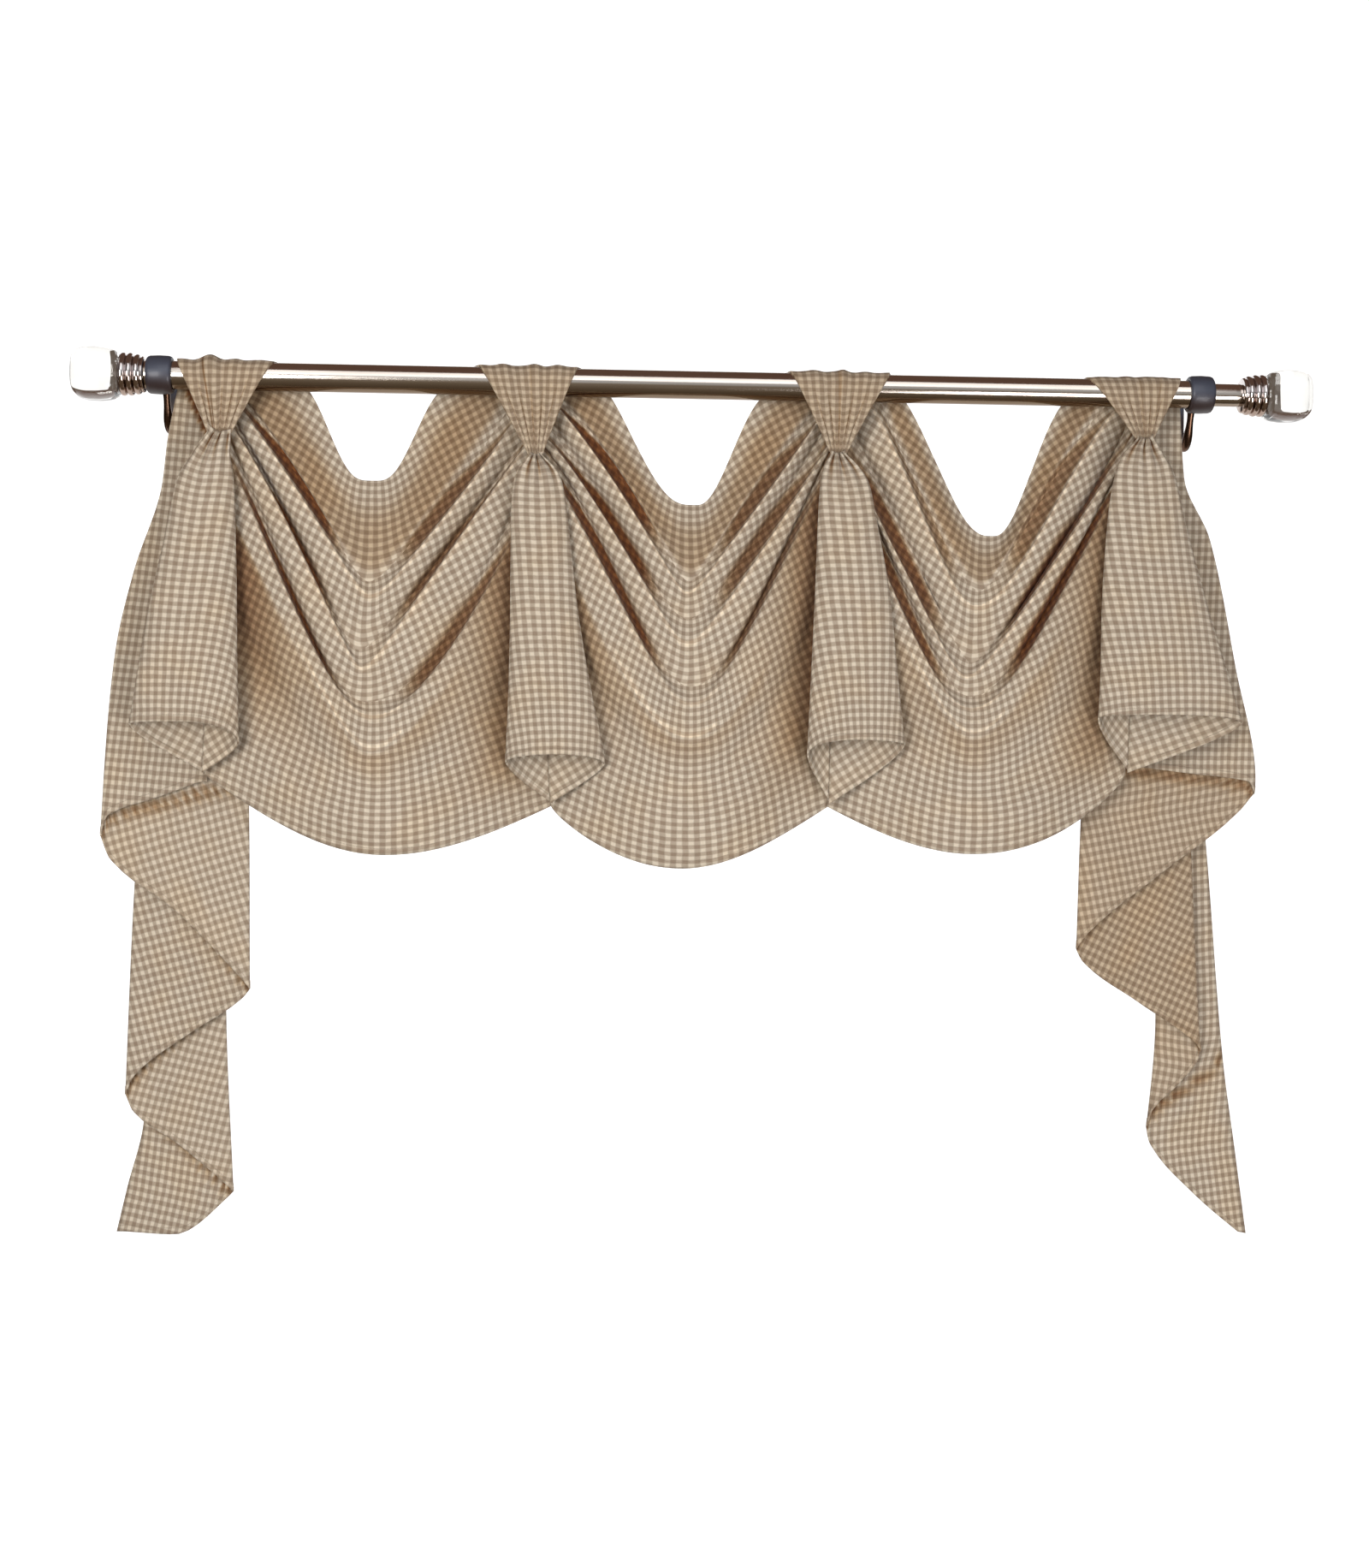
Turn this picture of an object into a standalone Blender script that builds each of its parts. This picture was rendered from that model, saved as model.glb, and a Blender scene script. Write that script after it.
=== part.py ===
"""Swag and tail drape on a telescoping rod.

Frame: X runs along the rod, Z is up, and the wall is the plane y = 0. The origin is on the wall,
midway between the two brackets, at the height of the rod's axis. In the tables a place is given
in millimetres as x, z and d, where d is how far in front of the rod's axis it lies.
"""

import math

import bmesh
import bpy
from mathutils import Matrix

MM = 0.001

# Rod and fittings, millimetres
WALL_GAP = 85.0
ROD_RADIUS = 13.0
ROD_BORE = 11.0
INNER_RADIUS = 10.7
INNER_BORE = 9.0
ROD_LEFT = -500.0
ROD_RIGHT = 490.0
INNER_LEFT = 250.0
INNER_RIGHT = 526.0
FIT = 0.3
RING_CENTRES = {"left": -486.5, "right": 486.5}
RING_WIDTH = 23.0
RING_RADIUS = 17.8
PLATE_WIDTH = 24.0
PLATE_HEIGHT = 56.0
PLATE_THICK = 5.0
PLATE_DROP = 8.0
ARM_RADIUS = 5.0
ARM_INSET = 2.5
# The arm's route, as d and z, from inside the ring's back to inside the wall plate
ARM_PATH = [
    (-15.4, -3.0), (-19.5, -17.0), (-27.0, -33.0), (-40.0, -44.0), (-56.0, -42.0), (-68.0, -31.0),
    (-81.0, -22.0),
]
ARM_STEPS = 3
TURNED_SIDES = 28

# Cloth, millimetres
CLOTH = 1.5
SEAM_GAP = 0.5
ROD_CLEARANCE = 0.4
ON_ROD = ROD_RADIUS + ROD_CLEARANCE + CLOTH / 2
SEAM_Z = -3.2
SWAG_COLUMNS = 22
HORN_COLUMNS = 16
HORN_ROWS = 8
TAIL_ROWS = 9
TAB_COLUMNS = 8
TAB_ROWS = 13
TAB_ARC = 14.8
TAB_TAPER = 8.0
TAB_FOOT_HALF = 5.0
TAB_FOOT_D = 17.0
# How far round the rod the tab has come, in degrees from the front, for each part of its length
TAB_TURNS = ((0.0, 190.0), (1.0, 90.0), (1.6, 30.0), (2.0, 4.0))

# One row for each gather: its own x and z, the ends of the cloth on the back of the rod (seam),
# the ends of the tab's edge on top of the rod, and the foot of the seam behind the horn (neck).
GATHER_COLUMNS = ("x", "z", "seam_left", "seam_right", "top_left", "top_right", "neck_x", "neck_z")
GATHERS = {
    1: (-430.0, -59.0, -472.5, -362.0, -471.0, -383.0, -443.0, -368.0),
    2: (-141.0, -70.0, -222.0, -78.0, -194.0, -103.0, -124.0, -394.0),
    3: (140.0, -64.0, 80.0, 201.0, 96.0, 190.0, 135.0, -393.0),
    4: (430.0, -45.0, 366.0, 472.5, 378.0, 467.0, 418.0, -361.0),
}

SIDE_GAP = 0.8
SIDE_KNOTS = (0.0, 1.0, 1.5, 2.0, 3.0)
SIDE_DEPTHS = (-ON_ROD, -ON_ROD, -7.0, 6.0, -3.0)
SIDE_BEND = 0.55

# Horns: a row for each height, with the two side edges and how far forward the front, the sides
# and the seam stand. HORN_HEMS holds the height of the hem at the left, middle, right and neck.
HORN_COLUMNS_OF = ("z", "left", "right", "front", "side", "neck")
HORNS = {
    1: [
        (-59.5, -435, -425, 20, 17, 13.5),
        (-70, -457, -420, 26, 19, 13),
        (-100, -467, -416, 31, 21, 12.5),
        (-142, -475, -414, 35, 23, 12),
        (-204, -488, -412, 39, 25, 11.5),
        (-258, -497, -411, 41, 27, 11),
        (-330, -508, -409, 42, 28, 11),
    ],
    2: [
        (-70.5, -146, -136, 20, 17, 13.5),
        (-84, -157, -122, 26, 19, 13),
        (-98, -161, -116, 29, 20, 12.5),
        (-125, -163, -112, 33, 22, 12),
        (-216, -163, -101, 38, 25, 11.5),
        (-290, -164, -88, 42, 27, 11),
        (-345, -166, -76, 44, 28, 11),
    ],
    3: [
        (-64.5, 135, 145, 20, 17, 13.5),
        (-78, 126, 160, 26, 20, 14),
        (-92, 123, 168, 30, 22, 14.5),
        (-122, 121, 174, 35, 25, 15),
        (-200, 118, 188, 40, 28, 15),
        (-270, 115, 195, 43, 30, 15),
        (-335, 112, 202, 45, 31, 15),
    ],
    4: [
        (-45.5, 425, 435, 20, 17, 13.5),
        (-58, 411, 445, 26, 19, 13),
        (-75, 402, 455, 30, 21, 12.5),
        (-118, 394, 465, 34, 23, 12),
        (-210, 388, 490, 39, 25, 11.5),
        (-262, 387, 506, 41, 27, 11),
        (-311, 385, 521, 42, 28, 11),
    ],
}
HORN_HEMS = {
    1: (-322, -320, -338, -366),
    2: (-354, -347, -355, -392),
    3: (-344, -331, -335, -391),
    4: (-308, -305, -312, -359),
}

HORN_ROW_EASE = 1.35
HORN_HEM_EASE = 1.3

# Swags: a row for each ridge or valley. from_left and from_right say where its two ends lie on
# the sides: 0 to 1 along the seam behind the rod, 1 to 2 down to the gather, 2 to 3 down the seam
# behind the horn. x, z and d place its lowest point, and stand is how far the fold itself stands
# out of (or sinks into) the swag there. round is how wide its turn is at the lowest point, bow over
# 1 makes that turn a flat-bottomed U, and fall_left and fall_right over 1 make its legs leave the
# gather level before they drop.
SWAG_COLUMNS_OF = (
    "name", "from_left", "from_right", "x", "z", "d", "stand", "round", "bow", "fall_left", "fall_right",
)
SWAGS = {
    "left": (1, 2, [
        ("scoop", 0.00, 0.00, -293, -93, -9, 0, 0.48, 2.2, 1.90, 2.00),
        ("upper", 0.60, 0.35, -293, -146, 3, 0, 0.30, 1.3, 1.50, 1.20),
        ("valley_1", 1.05, 0.62, -294, -188, 12, -10, 0.08, 1.0, 1.25, 0.90),
        ("ridge_1", 1.22, 0.82, -292, -201, 13, 10, 0.08, 1.0, 1.15, 0.86),
        ("valley_2", 1.42, 1.35, -302, -252, 17, -10, 0.07, 1.0, 1.08, 0.93),
        ("ridge_2", 1.62, 1.58, -299, -268, 19, 11, 0.07, 1.0, 1.20, 1.02),
        ("valley_3", 1.85, 1.95, -293, -302, 23, -9, 0.50, 1.0, 1.10, 0.92),
        ("ridge_3", 2.08, 2.14, -289, -313, 25, 9, 0.38, 1.0, 1.07, 0.86),
        ("low", 2.25, 2.30, -289, -345, 28, 3, 0.18, 1.0, 1.00, 0.85),
        ("valley_4", 2.48, 2.48, -283, -380, 28, -5, 0.80, 1.0, 0.85, 0.70),
        ("belly", 2.74, 2.74, -280, -410, 30, 2, 0.80, 1.0, 0.92, 0.85),
        ("hem", 3.00, 3.00, -277, -440, 22, 0, 0.80, 1.0, 1.00, 1.00),
    ]),
    "mid": (2, 3, [
        ("scoop", 0.00, 0.00, 7, -111, -9, 0, 0.24, 1.9, 1.40, 1.90),
        ("upper", 0.40, 0.45, 4, -152, 3, 0, 0.18, 1.3, 1.35, 1.40),
        ("valley_1", 0.74, 0.86, 2, -184, 12, -10, 0.06, 1.0, 1.33, 1.18),
        ("ridge_1", 0.98, 1.02, 0, -195, 13, 10, 0.06, 1.0, 1.22, 0.95),
        ("valley_2", 1.26, 1.27, 1, -219, 17, -10, 0.11, 1.0, 1.05, 0.96),
        ("ridge_2", 1.55, 1.58, 0, -241, 19, 11, 0.12, 1.0, 1.22, 0.96),
        ("valley_3", 1.80, 1.76, 4, -284, 23, -9, 0.45, 1.0, 1.35, 1.12),
        ("ridge_3", 1.98, 1.94, 4, -297, 25, 9, 0.30, 1.0, 1.18, 1.02),
        ("low", 2.15, 2.12, 2, -332, 28, 3, 0.50, 1.0, 1.00, 0.90),
        ("valley_4", 2.35, 2.32, 0, -368, 28, -5, 0.80, 1.0, 0.80, 0.68),
        ("belly", 2.68, 2.66, -2, -408, 30, 2, 0.70, 1.0, 0.82, 0.82),
        ("hem", 3.00, 3.00, -4, -451, 22, 0, 0.65, 1.0, 0.80, 1.00),
    ]),
    "right": (3, 4, [
        ("scoop", 0.00, 0.00, 290, -136, -9, 0, 0.24, 1.65, 1.45, 1.70),
        ("upper", 0.12, 0.28, 281, -166, 3, 0, 0.20, 1.2, 1.15, 1.40),
        ("valley_1", 0.24, 0.50, 275, -188, 10, -7, 0.13, 1.0, 0.94, 1.24),
        ("ridge_1", 0.42, 0.70, 271, -204, 12, 8, 0.42, 1.0, 1.22, 1.30),
        ("valley_2", 0.94, 0.90, 267, -257, 17, -10, 0.06, 1.0, 1.00, 0.82),
        ("ridge_2", 1.52, 1.50, 261, -270, 19, 12, 0.10, 1.0, 0.97, 0.98),
        ("valley_3", 1.84, 1.86, 266, -291, 22, -9, 0.30, 1.0, 1.14, 1.08),
        ("ridge_3", 2.05, 2.08, 265, -301, 25, 8, 0.38, 1.0, 1.02, 1.12),
        ("low", 2.22, 2.25, 266, -326, 28, 3, 0.20, 1.0, 0.95, 0.98),
        ("valley_4", 2.45, 2.46, 268, -368, 28, -5, 0.80, 1.0, 0.80, 0.75),
        ("belly", 2.72, 2.72, 269, -402, 30, 2, 0.85, 1.0, 0.88, 0.82),
        ("hem", 3.00, 3.00, 268, -436, 22, 0, 0.85, 1.0, 1.00, 0.80),
    ]),
}

SWELL_EASE = 1.3
STAND_REACH = 0.45

# Tails: FOLDS gives each upright fold, front to back, as its x at several heights, and its depth
# at the rod and low down. The first is the edge sewn behind the horn and the last is the free edge.
# HEMS gives the height of the slanted hem where each layer starts and ends.
TAIL_FOLD_COLUMNS = ("name", "top_d", "low_d", "x_at_z")
TAIL_HEM_COLUMNS = ("start_z", "middle_z", "end_z")
TAILS = {
    "left": ([
        ("seam", -14.3, -9.0, [(-3, -431), (-59, -431), (-368, -443), (-420, -444)]),
        ("fold_1", -16.0, -14.0, [
            (-3, -472), (-56, -482), (-100, -487), (-180, -512), (-253, -528), (-325, -535), (-432, -541),
        ]),
        ("fold_2", -19.2, -22.0, [(-3, -436), (-120, -425), (-400, -406), (-569, -404)]),
        ("fold_3", -22.4, -30.0, [(-3, -468), (-120, -482), (-474, -512), (-669, -519)]),
        ("fold_4", -25.6, -38.0, [(-3, -440), (-200, -434), (-593, -428), (-760, -420)]),
        ("edge", -28.8, -44.0, [(-3, -464), (-200, -478), (-693, -504), (-756, -519), (-800, -529)]),
    ], [
        (-374, -390, -406),
        (-446, -494, -556),
        (-576, -610, -650),
        (-682, -714, -752),
        (-766, -800, -797),
    ]),
    "right": ([
        ("seam", -14.3, -9.0, [(-3, 431), (-45, 431), (-361, 418), (-420, 417)]),
        ("fold_1", -16.0, -14.0, [(-3, 472), (-78, 477), (-135, 502), (-258, 528), (-365, 548), (-395, 544)]),
        ("fold_2", -19.2, -22.0, [(-3, 436), (-120, 410), (-390, 382), (-529, 378)]),
        ("fold_3", -22.4, -30.0, [(-3, 466), (-120, 474), (-438, 491), (-616, 501), (-640, 504)]),
        ("fold_4", -25.6, -38.0, [(-3, 442), (-200, 452), (-597, 460), (-720, 450)]),
        ("edge", -28.8, -44.0, [(-3, 464), (-200, 485), (-438, 510), (-633, 527), (-725, 540), (-803, 551)]),
    ], [
        (-352, -359, -366),
        (-394, -452, -512),
        (-540, -578, -616),
        (-634, -660, -684),
        (-716, -764, -804),
    ]),
}
TAIL_SWELL = (-3.0, -330.0)
# The upright columns of a layer, each as its share of the way across and of the way back
LAYER_COLUMNS = ((0.08, 0.42), (0.36, 0.47), (0.64, 0.53), (0.92, 0.58))


# ---------------------------------------------------------------- shape helpers

def table(columns, rows):
    """Turns rows of values into dictionaries keyed by the column names."""
    return [dict(zip(columns, row)) for row in rows]


def blend(low, high, share):
    return low + (high - low) * share


def eased(knots, values, at):
    """A smooth curve through values at rising knots that never swings past them."""
    if at <= knots[0]:
        return values[0]
    if at >= knots[-1]:
        return values[-1]
    slopes = [(b - a) / (q - p) for a, b, p, q in zip(values, values[1:], knots, knots[1:])]
    tangents = [slopes[0]]
    for before, after in zip(slopes, slopes[1:]):
        flat = before * after <= 0
        tangents.append(0.0 if flat else 2 * before * after / (before + after))
    tangents.append(slopes[-1])
    index = max(i for i, knot in enumerate(knots[:-1]) if knot <= at)
    span = knots[index + 1] - knots[index]
    f = (at - knots[index]) / span
    start = values[index] * (2 * f**3 - 3 * f**2 + 1) + values[index + 1] * (3 * f**2 - 2 * f**3)
    return start + span * (tangents[index] * (f**3 - 2 * f**2 + f) + tangents[index + 1] * (f**3 - f**2))


def off_the_rod(x, z, d):
    """Moves a point that would lie inside the rod straight out to the rod's surface."""
    reach = math.hypot(z, d)
    if reach >= ON_ROD:
        return x, z, d
    return x, z * ON_ROD / reach, d * ON_ROD / reach


def to_world(x, z, d):
    return x * MM, -(WALL_GAP + d) * MM, z * MM


# ---------------------------------------------------------------- materials and objects

def material(name, colour, roughness, metallic, transmission=0.0):
    made = bpy.data.materials.new(name)
    made.use_nodes = True
    shader = made.node_tree.nodes["Principled BSDF"]
    shader.inputs["Base Color"].default_value = (*colour, 1.0)
    shader.inputs["Roughness"].default_value = roughness
    shader.inputs["Metallic"].default_value = metallic
    shader.inputs["Transmission Weight"].default_value = transmission
    made.diffuse_color = (*colour, 1.0)
    return made


def add_object(name, mesh, finish):
    made = bpy.data.objects.new(name, mesh)
    bpy.context.scene.collection.objects.link(made)
    mesh.materials.append(finish)
    return made


def sheet(name, rows, finish):
    """A cloth sheet of even thickness through a grid of (x, z, d) points."""
    count = len(rows[0])
    points = [to_world(*point) for row in rows for point in row]
    faces = [
        (j * count + i, (j + 1) * count + i, (j + 1) * count + i + 1, j * count + i + 1)
        for j in range(len(rows) - 1)
        for i in range(count - 1)
    ]
    mesh = bpy.data.meshes.new(name)
    mesh.from_pydata(points, [], faces)
    mesh.shade_smooth()
    made = add_object(name, mesh, finish)
    thick = made.modifiers.new("Thickness", "SOLIDIFY")
    thick.thickness = CLOTH * MM
    thick.offset = 0.0
    thick.use_quality_normals = True
    return made


def turned(name, profile, finish, start, toward=1):
    """A piece turned about the rod's axis, from (along, radius) pairs measured from start."""
    bm = bmesh.new()
    made = [
        bm.verts.new(to_world(start + toward * along, radius, 0.0))
        for along, radius in profile
    ]
    edges = [bm.edges.new(pair) for pair in zip(made, made[1:])]
    if profile[0][1] > 0:
        edges.append(bm.edges.new((made[-1], made[0])))
    bmesh.ops.spin(
        bm, geom=made + edges, cent=to_world(0, 0, 0), axis=(1, 0, 0), dvec=(0, 0, 0),
        angle=2 * math.pi, steps=TURNED_SIDES, use_merge=True, use_duplicate=False,
    )
    bmesh.ops.remove_doubles(bm, verts=bm.verts, dist=1e-6)
    bmesh.ops.recalc_face_normals(bm, faces=bm.faces)
    mesh = bpy.data.meshes.new(name)
    bm.to_mesh(mesh)
    bm.free()
    mesh.shade_smooth()
    mesh.set_sharp_from_angle(angle=math.radians(35))
    return add_object(name, mesh, finish)


# ---------------------------------------------------------------- rod and fittings

def tube(name, left, right, radius, bore, finish):
    length = right - left
    return turned(name, [(0, bore), (0, radius), (length, radius), (length, bore)], finish, left)


def collar_profile(spigot):
    """Flange, three rounded ribs and a seat for the knob, with a spigot that plugs the tube."""
    return [
        (-14.0, 0.0), (-14.0, spigot), (FIT, spigot), (FIT, 16.0), (2.6, 16.6), (3.6, 14.6),
        (5.4, 17.6), (8.4, 18.4), (10.2, 16.4), (12.0, 18.9), (15.0, 19.6), (16.8, 17.6),
        (18.8, 19.8), (22.0, 19.2), (23.0, 17.0), (23.0, 0.0),
    ]


def knob_profile():
    """A squarish knob with a domed end, a little narrower at the collar."""
    return [
        (23.0 + FIT, 0.0), (23.0 + FIT, 17.5), (25.0, 20.4), (30.0, 22.6), (40.0, 24.4), (52.0, 24.2),
        (59.0, 22.4), (63.5, 19.0), (66.0, 13.5), (67.0, 6.0), (67.2, 0.0),
    ]


def add_helper(name, mesh):
    helper = bpy.data.objects.new(name, mesh)
    bpy.context.scene.collection.objects.link(helper)
    helper.hide_render = True
    helper.display_type = "WIRE"
    return helper


def arm_mesh(x):
    """The curved bar from the ring's back, down and round to the wall plate."""
    curve = bpy.data.curves.new("arm_route", "CURVE")
    curve.dimensions = "3D"
    curve.bevel_depth = ARM_RADIUS * MM
    curve.bevel_resolution = 2
    curve.use_fill_caps = True
    spline = curve.splines.new("POLY")
    spline.points.add(ARM_STEPS * (len(ARM_PATH) - 1))
    knots = list(range(len(ARM_PATH)))
    for index, point in enumerate(spline.points):
        at = index / ARM_STEPS
        d = eased(knots, [place[0] for place in ARM_PATH], at)
        z = eased(knots, [place[1] for place in ARM_PATH], at)
        point.co = (*to_world(x, z, d), 1.0)
    guide = bpy.data.objects.new("arm_guide", curve)
    mesh = bpy.data.meshes.new_from_object(guide)
    bpy.data.objects.remove(guide)
    return mesh


def plate_mesh(x):
    """The wall plate: an upright slab with round ends, flat against the wall."""
    bm = bmesh.new()
    half = PLATE_WIDTH / 2
    straight = PLATE_HEIGHT / 2 - half
    outline = []
    for end, first in ((1, 0), (-1, 180)):
        for step in range(9):
            turn = math.radians(first + step * 22.5)
            place_x = x + half * math.cos(turn)
            place_z = -PLATE_DROP + end * straight + half * math.sin(turn)
            outline.append(bm.verts.new(to_world(place_x, place_z, -WALL_GAP)))
    back = bm.faces.new(outline)
    made = bmesh.ops.extrude_face_region(bm, geom=[back])
    front = [item for item in made["geom"] if isinstance(item, bmesh.types.BMVert)]
    bmesh.ops.translate(bm, verts=front, vec=(0, -PLATE_THICK * MM, 0))
    bmesh.ops.recalc_face_normals(bm, faces=bm.faces)
    mesh = bpy.data.meshes.new("plate")
    bm.to_mesh(mesh)
    bm.free()
    return mesh


def bore_mesh(x):
    bm = bmesh.new()
    bmesh.ops.create_cone(
        bm, cap_ends=True, segments=TURNED_SIDES, radius1=(ROD_RADIUS + FIT) * MM,
        radius2=(ROD_RADIUS + FIT) * MM, depth=2 * RING_WIDTH * MM,
    )
    along_rod = Matrix.Rotation(math.pi / 2, 3, "Y")
    bmesh.ops.rotate(bm, verts=bm.verts, cent=(0, 0, 0), matrix=along_rod)
    bmesh.ops.translate(bm, verts=bm.verts, vec=to_world(x, 0, 0))
    mesh = bpy.data.meshes.new("bore")
    bm.to_mesh(mesh)
    bm.free()
    return mesh


def bracket(side, finish):
    """Ring clasp, arm and wall plate, joined into one solid, then bored for the rod."""
    centre = RING_CENTRES[side]
    inward = -ARM_INSET if side == "right" else ARM_INSET
    half = RING_WIDTH / 2
    ring = [
        (-half, 14.2), (-half, 16.2), (-half + 3, 17.4), (0, RING_RADIUS), (half - 3, 17.4),
        (half, 16.2), (half, 14.2),
    ]
    made = turned("bracket_" + side, ring, finish, centre)
    for name, mesh, way in (
        ("arm_" + side, arm_mesh(centre + inward), "UNION"),
        ("plate_" + side, plate_mesh(centre + inward), "UNION"),
        ("bore_" + side, bore_mesh(centre), "DIFFERENCE"),
    ):
        step = made.modifiers.new(name, "BOOLEAN")
        step.object = add_helper(name, mesh)
        step.operation = way
        step.solver = "EXACT"
    return made


def build_rod():
    nickel = material("brushed_nickel", (0.52, 0.46, 0.42), 0.28, 1.0)
    steel = material("polished_steel", (0.70, 0.68, 0.68), 0.15, 1.0)
    slate = material("slate_painted_metal", (0.09, 0.10, 0.13), 0.45, 0.6)
    glass = material("clear_glass", (0.95, 0.96, 0.95), 0.03, 0.0, 1.0)
    tube("rod_outer", ROD_LEFT, ROD_RIGHT, ROD_RADIUS, ROD_BORE, nickel)
    tube("rod_inner", INNER_LEFT, INNER_RIGHT, INNER_RADIUS, INNER_BORE, nickel)
    for side, end, toward, spigot in (
        ("left", ROD_LEFT, -1, ROD_BORE - FIT),
        ("right", INNER_RIGHT, 1, INNER_BORE - FIT),
    ):
        turned("finial_collar_" + side, collar_profile(spigot), steel, end, toward)
        turned("finial_knob_" + side, knob_profile(), glass, end, toward)
        bracket(side, slate)


# ---------------------------------------------------------------- tabs

def tab_rows(number):
    """From the back of the rod, up over it, and down in front to the gather."""
    gather = table(GATHER_COLUMNS, [GATHERS[number]])[0]
    top_left = gather["top_left"]
    top_right = gather["top_right"]
    knots = (0.0, 1.0, 1.6, 3.0)
    low = (gather["seam_left"], top_left, top_left + TAB_TAPER, gather["x"] - TAB_FOOT_HALF)
    high = (gather["seam_right"], top_right, top_right - TAB_TAPER, gather["x"] + TAB_FOOT_HALF)
    stages = [stage for stage, _ in TAB_TURNS]
    turns = [turn for _, turn in TAB_TURNS]
    leaves_rod = stages[-1]
    last_turn = math.radians(turns[-1])
    rows = []
    for step in range(TAB_ROWS):
        at = knots[-1] * step / (TAB_ROWS - 1)
        left = eased(knots, low, at)
        right = eased(knots, high, at)
        if at <= leaves_rod:
            turn = math.radians(eased(stages, turns, at))
            z = TAB_ARC * math.sin(turn)
            d = TAB_ARC * math.cos(turn)
        else:
            z = blend(TAB_ARC * math.sin(last_turn), gather["z"], at - leaves_rod)
            d = blend(TAB_ARC * math.cos(last_turn), TAB_FOOT_D, at - leaves_rod)
        rows.append([
            (blend(left, right, i / TAB_COLUMNS), z, d)
            for i in range(TAB_COLUMNS + 1)
        ])
    return rows


# ---------------------------------------------------------------- horns

def horn_hem(number, turn):
    """Height of the hem at this turn round the horn: 0 is the front, 180 the seam at the back."""
    left, middle, right, neck = HORN_HEMS[number]
    side = left if turn < 0 else right
    around = abs(turn)
    if around <= 90:
        return blend(middle, side, 1 - math.cos(math.radians(around)))
    return blend(side, neck, ((around - 90) / 90) ** HORN_HEM_EASE)


def horn_rows(number):
    gather = table(GATHER_COLUMNS, [GATHERS[number]])[0]
    levels = table(HORN_COLUMNS_OF, HORNS[number])
    depths = [-row["z"] for row in levels]
    top = levels[0]["z"]
    rows = []
    for step in range(HORN_ROWS + 1):
        share = (step / HORN_ROWS) ** HORN_ROW_EASE
        row = []
        for column in range(HORN_COLUMNS + 1):
            turn = -180 + 360 * column / HORN_COLUMNS
            z = blend(top, horn_hem(number, turn), share)
            left, right, front, side, seam = (
                eased(depths, [level[name] for level in levels], -z)
                for name in ("left", "right", "front", "side", "neck")
            )
            fallen = (gather["z"] - z) / (gather["z"] - gather["neck_z"])
            neck_x = blend(gather["x"], gather["neck_x"], fallen)
            across = math.sin(math.radians(turn))
            forward = math.cos(math.radians(turn))
            if forward >= 0:
                x = (left + right) / 2 + across * (right - left) / 2
                d = side + (front - side) * forward
            else:
                edge = right if across > 0 else left
                x = neck_x + (edge - neck_x) * abs(across)
                d = side + (side - seam) * forward
                x += math.copysign(SEAM_GAP * abs(forward), turn)
            row.append((x, z, d))
        rows.append(row)
    return rows


# ---------------------------------------------------------------- swags

def swag_side(number, toward, at):
    """A point on a swag's side: 0 to 1 on the rod, to 2 at the gather, to 3 at the foot."""
    gather = table(GATHER_COLUMNS, [GATHERS[number]])[0]
    outer = gather["seam_right"] if toward > 0 else gather["seam_left"]
    x = gather["x"] + toward * SIDE_GAP
    foot = gather["neck_x"] + toward * SIDE_GAP
    bend = blend(SEAM_Z, gather["z"], SIDE_BEND)
    return (
        eased(SIDE_KNOTS, (outer, x, x, x, foot), at),
        eased(SIDE_KNOTS, (SEAM_Z, SEAM_Z, bend, gather["z"], gather["neck_z"]), at),
        eased(SIDE_KNOTS, SIDE_DEPTHS, at),
    )


def leg(start, fold, share, fall):
    """A point on one leg of a fold: share 0 is its side end and 1 its lowest point."""
    width = fold["round"]
    drop = share**fall
    turn = (math.hypot(1 - drop, width) - width) / (math.hypot(1, width) - width)
    stand = fold["stand"] * math.sin(min(share / STAND_REACH, 1.0) * math.pi / 2)
    return (
        blend(start[0], fold["x"], share),
        blend(start[1], fold["z"], 1 - turn ** fold["bow"]),
        blend(start[2], fold["d"], math.sin(share * math.pi / 2) ** SWELL_EASE) + stand,
    )


def swag_rows(side):
    left, right, folds = SWAGS[side]
    half = SWAG_COLUMNS // 2
    rows = []
    for fold in table(SWAG_COLUMNS_OF, folds):
        start = swag_side(left, 1, fold["from_left"])
        end = swag_side(right, -1, fold["from_right"])
        row = [leg(start, fold, i / half, fold["fall_left"]) for i in range(half)]
        row += [leg(end, fold, i / half, fold["fall_right"]) for i in range(half, -1, -1)]
        rows.append([off_the_rod(*point) for point in row])
    return rows


# ---------------------------------------------------------------- tails

def fold_x(line, z):
    heights = [-place[0] for place in line["x_at_z"]]
    return eased(heights, [place[1] for place in line["x_at_z"]], -z)


def fold_d(line, z):
    """The layers lie close together on the rod and swell apart lower down."""
    top, full = TAIL_SWELL
    swell = min(max((top - z) / (top - full), 0.0), 1.0)
    return blend(line["top_d"], line["low_d"], swell * swell * (3 - 2 * swell))


def tail_columns(hems):
    """(layer, share across it, share back, height of the hem there) for each upright column."""
    columns = []
    last = len(hems) - 1
    for layer, hem in enumerate(hems):
        places = [list(place) for place in LAYER_COLUMNS]
        if layer == 0:
            places[0][0] = 0.0
        if layer == last:
            places[-1][0] = 1.0
        for across, back in places:
            columns.append((layer, across, back, eased((0, 0.5, 1), hem, across)))
        if layer < last:
            columns.append((layer, 1.0, 1.0, (hem[2] + hems[layer + 1][0]) / 2))
    return columns


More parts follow.
